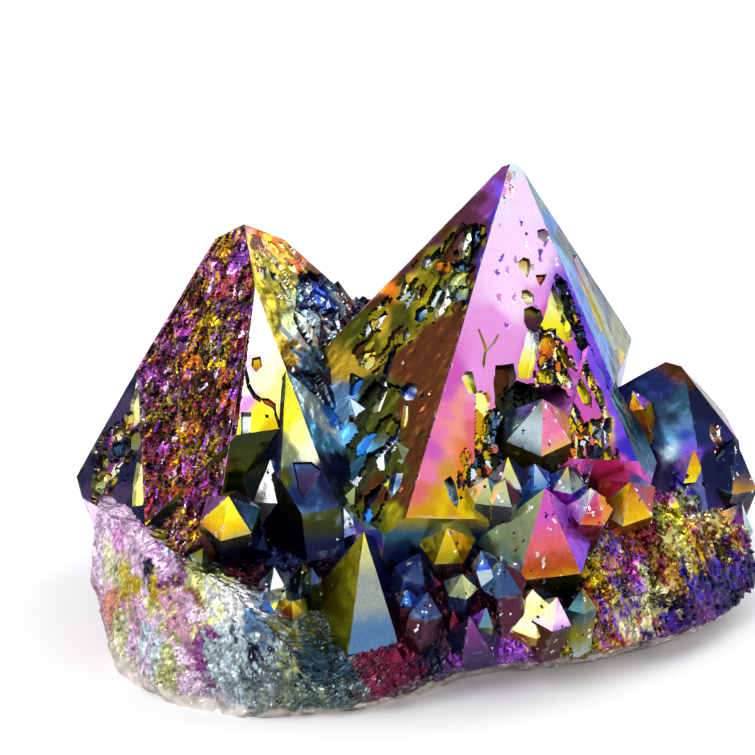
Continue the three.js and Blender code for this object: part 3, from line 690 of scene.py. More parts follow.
TALL_RIGHT = Drawn(TALL, 5, {
    "teal": "540,200", "azure": "552,222 580,290 604,340", "deepteal": "560,236 605,310 616,358",
    "greygreen": "618,332", "sky": "560,262", "gold": "625,370 645,450", "orange": "650,470",
}, [
    (0.5, "magenta>gold>straw", "ink",
     "573,254 577,256 597,300 618,350 616,356 606,338 596,316 586,296 578,274"),
    (0.4, "ice>ink", "ink", "590,300 594,306 604,330 602,336 594,322"),
])
TALL_SPUR_FRONT = Drawn(TALL_SPUR, 4, {
    "violet": "600,374 607,390 614,408 621,426 644,478", "indigo": "629,446 637,465",
    "gold": "590,385 605,425", "orange": "598,405 600,450", "plum": "612,460", "magenta": "622,465 630,475",
    "pink": "578,440",
}, [
    (0.9, "butter>gold>lemon>gold", "black", "576,370 591,394 592,402 585,404 572,380"),
    (0.7, "gold>butter", "black", "596,384 602,390 606,404 600,404"),
    (0.7, "butter>gold>orange", "ink", "578,404 588,402 592,416 590,436 582,434 577,420"),
    (0.6, "butter>gold", "ink", "593,414 600,418 606,432 608,448 600,444 594,430"),
    (0.6, "pink>rose", "umber", "578,438 590,440 592,454 586,462 578,458"),
    (0.9, "black>ink>cobalt", "black", "592,444 598,442 612,476 606,484 597,470 592,458"),
    (0.4, "orange>gold>coral", "umber", "580,462 590,462 600,486 602,500 594,496 580,470"),
    (0.7, "gold>lemon", "umber", "604,450 611,446 613,456 609,468 604,462"),
], [
    ("578,356 587,362 612,432 622,470 630,482 572,482 568,400",
     "gold black butter orange ink gold lemon black gold pink ink white gold charcoal", (0.55, 1.8),
     (0.2, 0.8), 0.95, (0.8, 1.1), 0.12),
])
LEFT_FRONT = Drawn(LEFT, 4, {
    "white": "255,308 262,330 262,352 250,345", "cream": "275,360 268,378 312,448 244,390",
    "butter": "285,375 280,395 300,440", "lemon": "262,410 290,400 255,425 295,420", "lilac": "247,360",
    "mauve": "246,400", "gold": "270,430",
}, [
    (0.35, "umber>ink", "umber", "243,364 246,366 250,382 247,388"),
    (0.35, "navy>umber", "ink", "246,386 250,384 256,394 262,398 260,403 253,398"),
    (0.3, "rust>umber", "umber", "260,398 268,398 276,404 277,416 272,408 264,404"),
    (0.25, "umber", "umber", "274,412 277,412 281,426 290,438 304,450 302,453 287,440 278,428"),
    (0.4, "gold>rust", "umber", "252,358 260,356 262,366 256,372 251,366"),
    (1, "white>ice>ink", "black", "241,412 251,412 250,436 241,436"),
    (0.3, "umber", "umber", "265,415 269,415 269,419 266,418"),
    (0.3, "umber", "umber", "294,424 298,427 296,430 293,427"),
])
LEFT_RIGHT = Drawn(LEFT, 5, {
    "plum": "238,226 242,240", "copper": "248,226 262,246", "rust": "258,230 278,244 298,262",
    "bronze": "268,236 288,252 250,242 256,270 278,262 262,300 288,352", "umber": "312,273 298,374",
    "olive": "254,285 264,262 268,280 286,272 270,315 278,298", "sage": "290,322", "greygreen": "292,303",
    "ash": "298,330", "steel": "308,366 308,402", "ink": "310,296 340,350 325,385", "teal": "302,388",
    "ice": "316,420", "sky": "318,440", "azure": "335,420", "dusk": "340,380",
}, [
    (0.8, "ink>cobalt>ink", "black", "301,278 310,271 322,278 334,290 346,306 340,318 326,312 303,292"),
    (0.5, "white>ice", "ink", "309,281 314,280 318,288 314,293 309,288"),
    (0.5, "mist", "ink", "325,291 331,296 329,301 324,298"),
    (0.5, "cream>straw", "umber", "261,268 266,266 268,276 263,280 260,274"),
    (0.5, "steel>ink", "umber", "268,270 276,274 280,282 272,280"),
    (0.3, "cream", "olive", "272,256 278,258 276,264 270,262"),
    (0.3, "butter", "olive", "288,262 294,264 297,272 290,270"),
    (0.4, "white>ash", "ink", "278,322 283,325 293,338 290,342 281,333"),
    (0.4, "steel>mist", "deepteal", "300,305 312,306 322,318 318,328 306,320"),
    (0.4, "ice>steel", "ink", "288,345 294,346 306,356 302,360 292,352"),
    (0.5, "mist>ice", "ink", "304,312 309,313 311,324 306,322"),
    (0.5, "ice", "ink", "316,322 322,324 322,336 316,334"),
], [
    ("250,236 290,246 313,277 307,297 273,300 257,270",
     "olive bronze gold umber copper bronze olive straw bronze", (0.6, 1.6), (0.1, 0.35), 0.4),
    ("300,273 333,277 357,320 360,360 323,370 293,320",
     "ink charcoal navy ink steel black navy teal ink mist ink", (0.8, 1.7), (0.2, 0.8), 0.8, (0.5, 1.05),
     0.06),
    ("293,370 313,370 347,397 337,437 313,423", "navy ink azure ink steel navy deepteal sky ink", (1, 2.4),
     (0.2, 0.8), 0.75, (0.6, 1.1), 0.08),
])
LEFT_FAR = Drawn(LEFT, 3, {
    "ink": "150,350 85,480 125,470 130,510", "dusk": "130,440 120,500 90,490",
}, [
    (0.45, "cream>cream>butter>pink", "ink", "138,378 143,384 144,400 142,418 136,426 129,430 131,404"),
    (0.5, "cream>butter", "ink", "137,462 142,457 144,464 145,490 143,505 132,507 133,484"),
    (0.5, "olive>greygreen", "umber", "128,432 138,428 142,440 137,452 124,448"),
    (0.5, "straw>gold", "umber", "125,414 131,411 132,418 128,428 124,424"),
    (0.5, "gold>cream", "umber", "109,436 116,428 124,426 123,436 115,442"),
    (0.6, "steel>ink", "ink", "108,446 118,440 126,446 124,456 112,458"),
    (0.6, "straw>butter", "ink", "101,454 107,452 106,466 100,466"),
    (0.5, "amber>straw>umber", "ink", "94,474 103,468 110,474 104,488 96,498 90,492"),
    (0.5, "straw", "ink", "112,474 120,472 118,478 111,479"),
    (0.5, "gold>cream", "ink", "104,498 112,492 116,494 108,502"),
    (0.25, "crimson", "ink", "138,387 141,386 142,394 138,395"),
], [
    ("93,443 122,420 136,443 130,477 93,503", "gold umber cream olive ink plum rust", (0.6, 1.4), (0.2, 0.7),
     0.55),
])
LEFT_SPUR_FRONT = Drawn(LEFT_SPUR, 4, {
    "lemon": "285,425", "butter": "300,435", "cream": "312,450", "bottle": "275,430", "greygreen": "285,450",
    "moss": "280,480", "slate": "300,475", "ink": "325,470", "navy": "295,500", "steel": "290,510",
}, [
    (0.35, "slate>dusk>ink", "ink", "292,462 312,462 322,470 304,500 298,490"),
])
LEFT_SPUR_RIGHT = Drawn(LEFT_SPUR, 5, {
    "ice": "322,425 340,435", "sky": "330,440 318,430", "azure": "335,420", "ink": "335,460",
})
RIGHT_LEFT = Drawn(RIGHT, 3, {
    "umber": "674,366", "navy": "660,386 660,442", "deepteal": "686,408", "ink": "648,425 652,455 676,468",
    "charcoal": "674,420", "steel": "687,422 676,431 678,452", "sky": "670,440", "ice": "673,449",
    "cobalt": "683,436", "violet": "685,452",
})
RIGHT_FRONT = Drawn(RIGHT, 4, {
    "umber": "690,376", "ink": "700,395 704,465", "navy": "694,440", "violet": "694,458",
}, [
    (0.6, "rust>cream>rose>ink", "umber", "710,426 714,425 724,447 722,452 710,434"),
], [
    ("712,425 718,427 723,450 717,457", "gold orange rust white black", (0.4, 0.8), (0.2, 0.6), 0.8),
    ("727,467 753,447 755,527 733,527", "gold ink ice charcoal plum cream lemon", (0.7, 1.5), (0.2, 0.9),
     0.75),
])
BARK = Drawn(LEFT, 0, {
    "amber": "222,255 200,280 200,335 180,430 185,535", "magenta": "210,270 185,320 185,470 230,450",
    "orchid": "235,265 240,365 210,500", "wine": "240,285 240,340 160,460", "rose": "225,285",
    "umber": "195,305 200,380 165,430 180,515", "maroon": "220,305 175,370 205,410 225,430 215,480",
    "plum": "235,310 180,345 165,380 236,385 200,475 190,500", "sage": "210,345",
    "gold": "215,360 205,325 205,450 200,540", "orange": "190,360",
    "rust": "220,380 225,400 195,425 175,455 175,490 195,520", "brown": "185,400 165,500",
    "olive": "170,410 190,445 215,460",
}, kind="cut")
BARK_FLECKS = {
    "gold": [(0, 2), (-3, 12), (3, 27)], "magenta": [(-2, 6), (3, 42)], "orchid": [(3, 6)],
    "crimson": [(2, 14)], "amber": [(0, 20), (-3, 40)], "orange": [(-3, 25)],
}
BARK_STEPS = Etch(
    [(-60, -60), (60, -60), (60, 60), (-60, 60)],
    "- - wine - black - gold wine - maroon - umber - orchid - lilac - black - amber wine -",
    (0.28, 1.2), (0, 0.42), 1.1, (0.25, 1.3),
)
ROCK_FRONT = {
    "lilac": "112,528 130,538 148,553 163,562 100,556 98,580 135,638 150,620 142,600 190,604 178,655",
    "cream": "108,560 120,645 700,520 662,597 640,628 205,596",
    "straw": "118,572 122,628 170,630 189,578 165,655 290,652 362,360 600,552 627,617 647,593",
    "gold": "128,585 163,590 597,567 692,562", "peach": "112,597",
    "heather": "100,602 137,618 170,602 182,612 185,640 200,640", "ice": "152,642 224,634 325,332",
    "butter": "157,603 207,578 212,624 640,606 683,548 720,541", "plum": "175,580 208,650 735,542 702,618",
    "rust": "194,596", "white": "218,586 210,606 234,614", "steel": "254,632 350,345 350,430",
    "ink": "244,650 418,555 425,648 470,522 708,578 676,604 732,590 148,570",
    "mist": "230,655 262,645 345,335 355,380", "navy": "275,650 262,562 345,300 350,465 530,590 750,560",
    "deepteal": "305,655 215,560", "bronze": "165,548", "olive": "185,550 380,495 592,640",
    "sky": "168,556 325,385 358,442", "greygreen": "200,560 400,512",
    "wine": "228,572 375,300 392,575 405,648 470,605 647,542", "maroon": "246,578 445,628 490,600",
    "black": "340,288 575,590", "cobalt": "335,372", "azure": "345,405", "moss": "375,465",
    "bottle": "382,510", "sage": "420,522 660,528 690,502", "slate": "490,532", "dusk": "480,640",
    "orchid": "500,655 603,622", "magenta": "610,562 662,498", "violet": "616,545 617,588 612,610",
    "lemon": "606,586 673,520", "orange": "596,600 640,527",
    "indigo": "672,490 693,580 727,567 670,618 694,602", "amber": "715,528 693,540 677,578",
    "rose": "703,541", "grape": "707,556 742,570 660,634 712,600 683,624", "umber": "687,594",
    "pink": "652,618", "crimson": "626,634", "mauve": "156,560 120,540",
}
# Behind, where the camera doesn't see the matrix, as x, y, z.
ROCK_BACK = {
    "lilac": [(-33, 16, 5)], "straw": [(-36, 10, 12)], "gold": [(0, 32, 10)],
    "plum": [(10, 30, 20), (46, 8, 10)], "azure": [(-15, 20, 26)], "sage": [(5, 34, 4)],
    "orange": [(30, 24, 6)], "indigo": [(20, 30, 12)], "mauve": [(-25, 25, 12)], "teal": [(38, 18, 10)],
}


def struck(patches):
    """Spots of film in the camera's frame as points on the solid, in the grower's coordinates."""
    mesh = bpy.data.objects[NODE].data
    corners = [Vector(vertex.co) * 1000 + Vector(MIDDLE) for vertex in mesh.vertices]
    solid = BVHTree.FromPolygons(corners, [polygon.vertices[:] for polygon in mesh.polygons])
    return {
        name: [list(solid.ray_cast(Vector(CAMERA_EYE), Vector(sight))[0]) for sight in sight_lines(spots)]
        for name, spots in patches.items()
    }


ROCK = struck(ROCK_FRONT)
for name, points in ROCK_BACK.items():
    ROCK.setdefault(name, []).extend(points)


# ---- Skins: triangles with a film colour at each corner -------------------------------------------------


class Skin:
    """Triangles in millimetres. Each corner has its film colour, with painted shade and highlight on slopes,
    hollow walls, step seams and rims already in it, the colour of the flecks in it, and its finish: the share
    of crevices, darkened as painted shade, the share of flecks and how much it glitters."""

    def __init__(self):
        self.parts, self.count = [], 0

    def add(self, points, triangles, *corners):
        self.parts.append((points, triangles + self.count, *corners))
        self.count += len(points)

    def mesh_object(self, name, sharp=28, warp=None):
        points, triangles, *corners = (np.concatenate(part) for part in zip(*self.parts))
        keys = np.round(points * 2000).astype(np.int64)
        _, first, where = np.unique(keys, axis=0, return_index=True, return_inverse=True)
        points = points[first]
        triangles = where.reshape(-1)[triangles]
        whole = (triangles != np.roll(triangles, -1, axis=1)).all(axis=1)
        triangles = triangles[whole]
        if warp:
            points = points + warp(points)
        points[:, 2] = np.maximum(points[:, 2], 0)
        mesh = bpy.data.meshes.new(name)
        mesh.vertices.add(len(points))
        mesh.vertices.foreach_set("co", ((points - MIDDLE) / 1000).astype(np.float32).ravel())
        mesh.loops.add(len(triangles) * 3)
        mesh.loops.foreach_set("vertex_index", triangles.astype(np.int32).ravel())
        mesh.polygons.add(len(triangles))
        mesh.polygons.foreach_set("loop_start", np.arange(0, len(triangles) * 3, 3, dtype=np.int32))
        mesh.update(calc_edges=True)
        for label, values in zip(("coat", "fleck", "finish"), corners):
            layer = mesh.attributes.new(label, "FLOAT_VECTOR", "CORNER")
            layer.data.foreach_set("vector", values[whole].astype(np.float32).ravel())
        mesh.validate()
        mesh.polygons.foreach_set("use_smooth", [True] * len(mesh.polygons))
        mesh.set_sharp_from_angle(angle=sharp * DEG)
        mesh.materials.append(coated_quartz())
        return linked(name, mesh)


def linked(name, data):
    thing = bpy.data.objects.new(name, data)
    bpy.context.scene.collection.objects.link(thing)
    return thing


def edge_key(a, b):
    """The same for an edge of two sides, whichever way each of them goes along it."""
    return tuple(sorted([tuple(np.round(a, 3)), tuple(np.round(b, 3))]))


def edge_points(a, b, spacing):
    """Points along an edge without its end, the same for both sides that share it."""
    count = max(1, math.ceil(np.linalg.norm(b - a) / spacing))
    first = tuple(np.round(a, 3)) <= tuple(np.round(b, 3))
    start, end = (a, b) if first else (b, a)
    points = [start + (end - start) * k / count for k in range(count + 1)]
    return (points if first else points[::-1])[:-1]


def side_limits(outline):
    """The edges of a convex outline, each as its outward normal and how far out it lies."""
    sign = turning(outline)
    limits = []
    for a, b in loop_edges(outline):
        along = unit(b - a)
        outward = sign * np.array([along[1], -along[0]])
        limits.append((outward, outward @ a))
    return limits


def clip_segment(a, b, limits, margin):
    """The part of a segment that is inside a convex outline by a margin."""
    low, high, least = 0.0, 1.0, 1e-3
    for normal, limit in limits:
        start, end = a @ normal - (limit - margin), b @ normal - (limit - margin)
        if start > 0 and end > 0:
            return None
        if start > 0:
            low = max(low, start / (start - end))
        elif end > 0:
            high = min(high, start / (start - end))
    return (a + (b - a) * low, a + (b - a) * high) if high - low > least else None


def hollow_lines(hollows, limits):
    """The upper and lower edges of the hollows, as far as they are inside the side."""
    margin, shortest = 0.12, 0.02
    lines = []
    for hollow in hollows:
        for loop in (hollow.outline, inset(hollow.outline, hollow.rim)):
            for a, b in loop_edges(loop):
                part = clip_segment(a, b, limits, margin)
                if part is not None and np.linalg.norm(part[1] - part[0]) > shortest:
                    lines.append(part)
    return lines


def side_grid(outline, limits, lines, step):
    """Places spread evenly over a side, in rows, clear of its rim and of the lines on it."""
    low, high = outline.min(axis=0), outline.max(axis=0)
    row_height, rim_clear, line_clear = 0.866, 0.5, 0.42
    rows = [np.zeros((0, 2))]
    for k, down in enumerate(np.arange(low[1] + step / 2, high[1], step * row_height)):
        right = np.arange(low[0] + (step / 2 if k % 2 else 0), high[0], step)
        rows.append(np.stack([right, np.full(len(right), down)], axis=1))
    grid = np.concatenate(rows)
    keep = np.ones(len(grid), bool)
    for normal, limit in limits:
        keep &= grid @ normal < limit - step * rim_clear
    grid = grid[keep]
    if not lines:
        return grid
    spots = []
    for a, b in lines:
        count = max(1, int(np.linalg.norm(b - a) / (step * 0.5)))
        spots += [a + (b - a) * k / count for k in range(count + 1)]
    tree = kdtree.KDTree(len(spots))
    for k, (x, y) in enumerate(spots):
        tree.insert((x, y, 0), k)
    tree.balance()
    return np.array([p for p in grid if tree.find((*p, 0))[2] > step * line_clear]).reshape(-1, 2)


def side_triangles(rim, lines, grid):
    """Triangles over a side, with its rim and the lines on it as edges: the places, and each triangle's
    corners among them."""
    places = list(rim)
    edges = [(k, (k + 1) % len(rim)) for k in range(len(rim))]
    seen = {}

    def index(p):
        key = (round(p[0], 3), round(p[1], 3))
        if key not in seen:
            seen[key] = len(places)
            places.append(np.array(key))
        return seen[key]

    for a, b in lines:
        i, j = index(a), index(b)
        if i != j:
            edges.append((i, j))
    flipped = [Vector((x, -y)) for x, y in (*places, *grid)]
    found = geometry.delaunay_2d_cdt(flipped, edges, [], 0, 1e-4, False)
    places = np.array([(x, -y) for x, y in found[0]])
    triangles = np.array(found[2])
    a, b, c = (places[triangles[:, k]] for k in range(3))
    area = (b[:, 0] - a[:, 0]) * (c[:, 1] - a[:, 1]) - (c[:, 0] - a[:, 0]) * (b[:, 1] - a[:, 1])
    flip = area > 0
    triangles[flip] = triangles[flip][:, ::-1]
    return places, triangles[np.abs(area) > 1e-7]


def side_heights(side, plane, places, rim_distance):
    """How far each place stands out of the flat side, fading to nothing at its rim."""
    height = np.zeros(len(places))
    for hollow in side.hollows:
        near = hollow.near(places)
        share = np.clip(depth_inside(places[near], hollow.outline) / hollow.rim, 0, 1)
        height[near] = blend(height[near], -hollow.depth, share)
    for k, etch in enumerate(side.etch):
        inside, depth, _ = etch.cells(places, SEED + 200 + k)
        height -= inside * depth
    if side.relief:
        height += side.relief(places, plane)
    return height * smoothstep(rim_distance / side.fade)


def side_films(side, plane, places, triangles):
    """The film at each corner of each triangle of a side: its own, then that of its steps and hollows, with
    painted shade on the hollow walls and the seams between steps.
    """
    corner_places = places[triangles.ravel()]
    middles = places[triangles].mean(axis=1)
    if callable(side.paint):
        films = side.paint(corner_places, plane)
    else:
        top, foot = plane.place(plane.corners)[:, 1].min(), plane.place(plane.corners)[:, 1].max()
        films = ramp(side.paint, (corner_places[:, 1] - top) / (foot - top))
    for k, etch in enumerate(side.etch):
        inside, _, pick = etch.cells(middles, SEED + 200 + k)
        inside, pick = np.repeat(inside, 3), np.repeat(pick, 3)
        films[inside] = etch.colours(pick[inside], films[inside])
    for hollow in side.hollows:
        near = hollow.near(middles)
        depth = np.full(len(middles), -9.0)
        depth[near] = depth_inside(middles[near], hollow.outline)
        floor = np.repeat(depth > hollow.rim * 0.9, 3)
        wall = np.repeat((depth > 0.01) & (depth <= hollow.rim * 0.9), 3)
        down = (corner_places[:, 1] - hollow.low[1]) / (hollow.high[1] - hollow.low[1])
        films[floor] = ramp(hollow.floor, down[floor])
        # Painted shade on the pit walls: the floor's film half blended with the wall film, which is mostly
        # dark.
        films[wall] = blend(ramp(hollow.floor, down[wall]), ramp(hollow.wall, down[wall]), 0.5)
    return films


def slope_shade_and_highlight(films, triangles, places, height):
    """Painted shade and highlight: deepens the film on slopes that face away from a light at the side's upper
    left, and pales it towards ice on those that face it.
    """
    a, b, c = (places[triangles[:, k]] for k in range(3))
    rise = height[triangles]
    one, two = b - a, c - a
    rise_one, rise_two = rise[:, 1] - rise[:, 0], rise[:, 2] - rise[:, 0]
    across = one[:, 0] * two[:, 1] - one[:, 1] * two[:, 0]
    across = np.where(np.abs(across) < 1e-9, 1e-9, across)
    right = (rise_one * two[:, 1] - rise_two * one[:, 1]) / across
    down = (one[:, 0] * rise_two - two[:, 0] * rise_one) / across
    slope = np.repeat(0.5 * right + 0.86 * down, 3)
    dark = 0.88 * smoothstep((-slope - 0.1) / 1.1)[:, None]
    lit = 0.7 * smoothstep((slope - 0.2) / 1.4)[:, None]
    return films * (1 - dark) * (1 - lit) + (0.4 * films + 0.6 * film("ice")) * lit


def side_skin(skin, plane, side, spacings):
    rim = []
    for a, b in loop_edges(plane.corners):
        rim += edge_points(a, b, spacings[edge_key(a, b)])
    outline = plane.place(plane.corners)
    limits = side_limits(outline)
    lines = hollow_lines(side.hollows, limits)
    grid = side_grid(outline, limits, lines, side.spacing)
    places, triangles = side_triangles(plane.place(np.array(rim)), lines, grid)
    rim_distance = np.min([limit - places @ normal for normal, limit in limits], axis=0)
    height = side_heights(side, plane, places, rim_distance)
    # The film with painted shade and highlight on the slopes of the relief, the hollows and the steps.
    films = slope_shade_and_highlight(side_films(side, plane, places, triangles), triangles, places, height)
    corner_places = places[triangles.ravel()]
    if side.worn:
        # Painted highlight: streaks of the film paled towards ice along the side's rim.
        edge = np.repeat(rim_distance[triangles].min(axis=1) < 0.02, 3)
        bright = smoothstep(rough_noise(plane.at(corner_places), 0.7, 2, 0.6, SEED + 5) * 2 - 0.3) * side.worn
        films[edge] = blend(films[edge], film("ice"), bright[edge][:, None])
    if isinstance(side.flecks, dict):
        flecks = patched(corner_places, side.flecks)
    else:
        flecks = np.tile(film(side.flecks), (len(films), 1))
    finish = np.tile(side.finish, (len(films), 1))
    corners = (part.reshape(-1, 3, 3) for part in (films, flecks, finish))
    skin.add(plane.at(places, height), triangles, *corners)


def crystal_skin(skin, crystal, sides, fallback):
    """Adds a whole crystal. Sides has a Side for some of them by (kind, number), and fallback makes the
    others'."""
    faces = []
    for plane in crystal_faces(crystal):
        faces.append((plane, sides.get((plane.kind, plane.number)) or fallback(plane)))
    spacings = {}
    for plane, side in faces:
        for a, b in loop_edges(plane.corners):
            key = edge_key(a, b)
            spacings[key] = min(spacings.get(key, side.spacing), side.spacing)
    for plane, side in faces:
        side_skin(skin, plane, side, spacings)


def ripple(points):
    """The slight waviness that no grown face is free of."""
    shift = [rough_noise(points + 57 * k, 2.4, 3, 0.55, SEED + 40 + k) for k in range(3)]
    return 0.05 * np.stack(shift, axis=1)


# ---- Matrix ---------------------------------------------------------------------------------------------

# Levels from the ground up, each with its reach from the centre and its height at sixteen even headings.
MATRIX_CENTRE = np.array([5.0, -2.0])
MATRIX_LEVELS = (
    ((38, 38, 35, 31, 29, 30, 34, 38, 39.5, 39.5, 37, 28, 21, 18, 21, 28), (0,) * 16),
    ((44.5, 44, 41, 36, 33, 34, 38, 41, 41, 41.5, 39, 31, 25, 23, 28, 35.5),
     (5, 6, 7, 8, 8, 8, 8, 9, 10, 9, 6, 3, 4, 5.2, 5.4, 5.5)),
    ((40, 37, 34, 30, 28, 29, 33, 38, 40.5, 40, 34, 27, 22, 20.5, 24, 32),
     (13.5, 15, 18, 20, 22, 24, 23, 21, 19, 18.5, 15.5, 5, 8.5, 11, 11.5, 12)),
    ((27, 24, 20, 18, 17, 17, 20, 28, 28, 25, 22, 18, 15.5, 15, 18, 24),
     (17, 20, 28, 31, 33, 37.5, 35.5, 27, 23, 16, 12, 8.5, 13.5, 17, 18, 18)),
    ((9,) * 16, (27, 28, 30, 32, 34, 36, 36, 35, 31, 27.5, 25, 22.5, 22.5, 24, 24.5, 25.5)),
)
SUMMIT_HEIGHT = 30
MATRIX_ROUGHNESS, MATRIX_LUMP = 1.3, 6
# Flat breaks in the matrix: which way each faces, and a point on it.
BREAKS = (
    ((-0.8, -0.58, 0.12), (-30.3, -18, 8)), ((-0.99, 0.1, 0.1), (-34.9, -5, 9)),
    ((-0.35, -0.92, 0.2), (-18, -26.6, 8)), ((-0.42, -0.6, 0.68), (-30, -17, 17.6)),
    ((0.1, -0.95, 0.3), (-6, -28, 6)), ((0.42, -0.86, 0.3), (33, -15, 9)), ((0.75, -0.55, 0.36), (42, -7, 9)),
    ((0.96, 0.2, 0.2), (47.6, 4, 8)), ((-0.3, 0.93, 0.2), (-15, 28, 9)), ((-0.8, 0.55, 0.2), (-28, 20, 10)),
    ((0.25, 0.95, 0.2), (19, 29, 10)), ((0.78, 0.6, 0.2), (38, 18, 9)),
)
# Druse, as count, then the headings and levels where it starts and ends, and its smallest and largest radius.
DRUSE = (
    (34, (150, 2.3), (262, 3.9), (0.7, 1.6)), (26, (262, 1.3), (335, 3), (0.6, 1.4)),
    (30, (20, 1.6), (165, 3.2), (1, 2.6)), (12, (335, 1.8), (380, 2.8), (0.8, 1.6)),
)
# How far a point of it stands out, for its radius, and how far it leans out from upright.
DRUSE_STANDS, DRUSE_LEAN = 1.1, 0.45
ROCK_GRAIN = np.array([[1, 0, 0.1], [0, 1, 0], [0.25, 0, 0.45]])
ROCK_FLECKS = {
    "gold": [(-33, -12, 10), (14, -25, 8), (24, -22, 10), (0, 26, 14)], "amber": [(33, -16, 10)],
    "lilac": [(-30, -17, 20)], "cream": [(-24, -22, 8)], "white": [(-16, -27, 12)], "ice": [(-6, -29, 8)],
    "sky": [(4, -27, 8), (-25, 22, 14)], "orchid": [(42, -8, 9)], "pink": [(-36, 0, 14)],
    "rose": [(8, -20, 10)], "magenta": [(30, 22, 14)],
}
# How thick the flecks are round some points of the matrix: x, y, z and the share.
ROCK_FLECK_SHARES = [
    (-30, -15, 12, 0.22), (-10, -27, 8, 0.25), (6, -24, 8, 0.12), (26, -20, 10, 0.42), (40, -10, 9, 0.3),
    (0, 26, 14, 0.3),
]


def around(values, angle):
    """Values at even headings, rounded into a closed curve, at each angle."""
    values = np.array(values, float)
    place = np.mod(angle / (2 * math.pi), 1) * len(values)
    k = np.floor(place).astype(int)
    t = place - k
    a, b, c, d = (values[(k + n) % len(values)] for n in (-1, 0, 1, 2))
    return b + 0.5 * t * (c - a + t * (2 * a - 5 * b + 4 * c - d + t * (3 * (b - c) + d - a)))


def matrix_points(ring, angle):
    """Points of the smooth matrix at each level, counted in rings, and angle."""
    ring, angle = np.atleast_1d(ring), np.atleast_1d(angle)
    k = np.minimum(np.floor(ring).astype(int), len(MATRIX_LEVELS) - 2)
    t = ring - k
    column = np.arange(len(angle))
    both = []
    for part in range(2):
        level = np.array([around(values[part], angle) for values in MATRIX_LEVELS])
        both.append(level[k, column] * (1 - t) + level[k + 1, column] * t)
    reach, height = both
    x, y = MATRIX_CENTRE
    return np.stack([x + reach * np.cos(angle), y + reach * np.sin(angle), height], axis=1)


def broken_back(points):
    """Brings what stands in front of a break back to it, towards the middle."""
    points = points.copy()
    for facing, at in BREAKS:
        normal = unit(facing)
        offset = points[:, :2] - MATRIX_CENTRE
        reach = np.linalg.norm(offset, axis=1)
        way = offset / np.maximum(reach, 1e-9)[:, None]
        over = (points - np.array(at, float)) @ normal
        slope = way @ normal[:2]
        cut = (over > 0) & (slope > 0.15)
        points[cut, :2] -= way[cut] * (over[cut] / slope[cut])[:, None]
    return points


def druse_crystals():
    state = SEED

    def between(a, b):
        nonlocal state
        state = (state * 1664525 + 1013904223) & 0xFFFFFFFF
        return a + (b - a) * (state / 2**32)

    crystals = []
    step = 0.02
    for count, start, end, radii in DRUSE:
        for _ in range(count):
            angle = between(start[0], end[0]) * DEG
            ring = between(start[1], end[1])
            radius = between(*radii)
            ground = matrix_points(ring, angle)[0]
            along = matrix_points(ring, angle + step)[0] - ground
            up = matrix_points(ring + step, angle)[0] - ground
            normal = unit(np.cross(along, up))
            upright = np.array([between(-0.3, 0.3), between(-0.3, 0.3), 1 - DRUSE_LEAN])
            axis = unit(upright + DRUSE_LEAN * normal)
            tip = ground + axis * radius * DRUSE_STANDS + normal * radius * 0.5
            crystals.append(dict(
                tip=tip.tolist(), lean=math.acos(axis[2]) / DEG, heading=math.atan2(axis[1], axis[0]) / DEG,
                twist=between(0, 60), reach=[radius] * SIDES, root=radius * 4,
            ))
    return crystals


def fleck_share(points):
    rows = np.array(ROCK_FLECK_SHARES, float)
    weight = (((points[:, None] - rows[None, :, :3]) ** 2).sum(2) + 1e-3) ** -3.0
    return weight @ rows[:, 3] / weight.sum(1)


def rock_grains(points):
    return grains(points @ ROCK_GRAIN, 0.62, SEED + 3)


def rock_film(points):
    """The film on the matrix: patches with streaky, grainy borders."""
    _, number = rock_grains(points)
    reach = 1.5 - 0.8 * smoothstep((-10 - points[:, :1]) / 6)
    jitter = reach * np.stack([np.sin(number * 91.7 + k * 2.1) for k in range(3)], axis=1)
    return patched(points + jitter + 1.6 * wandered(points @ ROCK_GRAIN, 1.6, 0.65, 9), ROCK, 5.0)


def grid_slope(relief, along, up):
    """How steeply the relief over a grid of points falls away sideways and upwards."""
    side_step, rise_step = (np.maximum(np.linalg.norm(step, axis=2), 1e-6) for step in (along, up))
    side = (np.roll(relief, -1, axis=1) - np.roll(relief, 1, axis=1)) / side_step
    rise = np.gradient(relief, axis=0) / rise_step
    return (0.5 * side - 0.86 * rise).ravel()


def bare_rock(points, ring, angle):
    """Where the film ends low on the front right, and underneath: 1 on bare rock, 0 on the film."""
    facing = np.mod(angle / DEG + 360, 360)
    front_right = smoothstep((facing - 262) / 8) + smoothstep((18 - facing) / 6) * (facing < 90)
    edge = 0.5 + 0.16 * rough_noise(points, 1.4, 3, 0.6, SEED + 90)
    bare = np.clip((edge - ring) * 9, 0, 1) * np.clip(front_right, 0, 1)
    under = np.clip((0.35 + 0.2 * rough_noise(points, 3, 2, 0.6, SEED + 91) - ring) * 9, 0, 1)
    return np.maximum(bare, under)


def matrix_films(points, number, grain, slope, bare):
    """The film on the matrix, with painted shade between grains, in the valley on the front right and on
    slopes facing down, painted highlight on slopes facing up, and none on bare rock.
    """
    films = rock_film(points)
    # A random tone for each grain, darker all over in the valley on the front right as painted shade.
    deep = smoothstep((points[:, 0] - 16) / 12) * (points[:, 1] < 6)
    films *= blend(blend(0.6, 0.3, deep), blend(1.25, 1.15, deep), number)[:, None]
    # Painted shade on slopes of the relief facing down, and painted highlight on those facing up.
    dark = 0.9 * smoothstep((-slope - 0.05) / 0.8)
    lit = 0.6 * smoothstep((slope - 0.15) / 1.0)
    films = films * ((1 - dark) * (1 - lit))[:, None] + (0.5 * films + 0.5 * film("ice")) * lit[:, None]
    # Painted shade in the cracks between grains.
    films *= (0.45 + 0.55 * smoothstep(grain * 3.5))[:, None]
    stone = film("quartz") * (0.75 + 0.35 * rough_noise(points, 1.2, 3, 0.6, SEED + 92))[:, None]
    return films * (1 - bare[:, None]) + stone * bare[:, None]


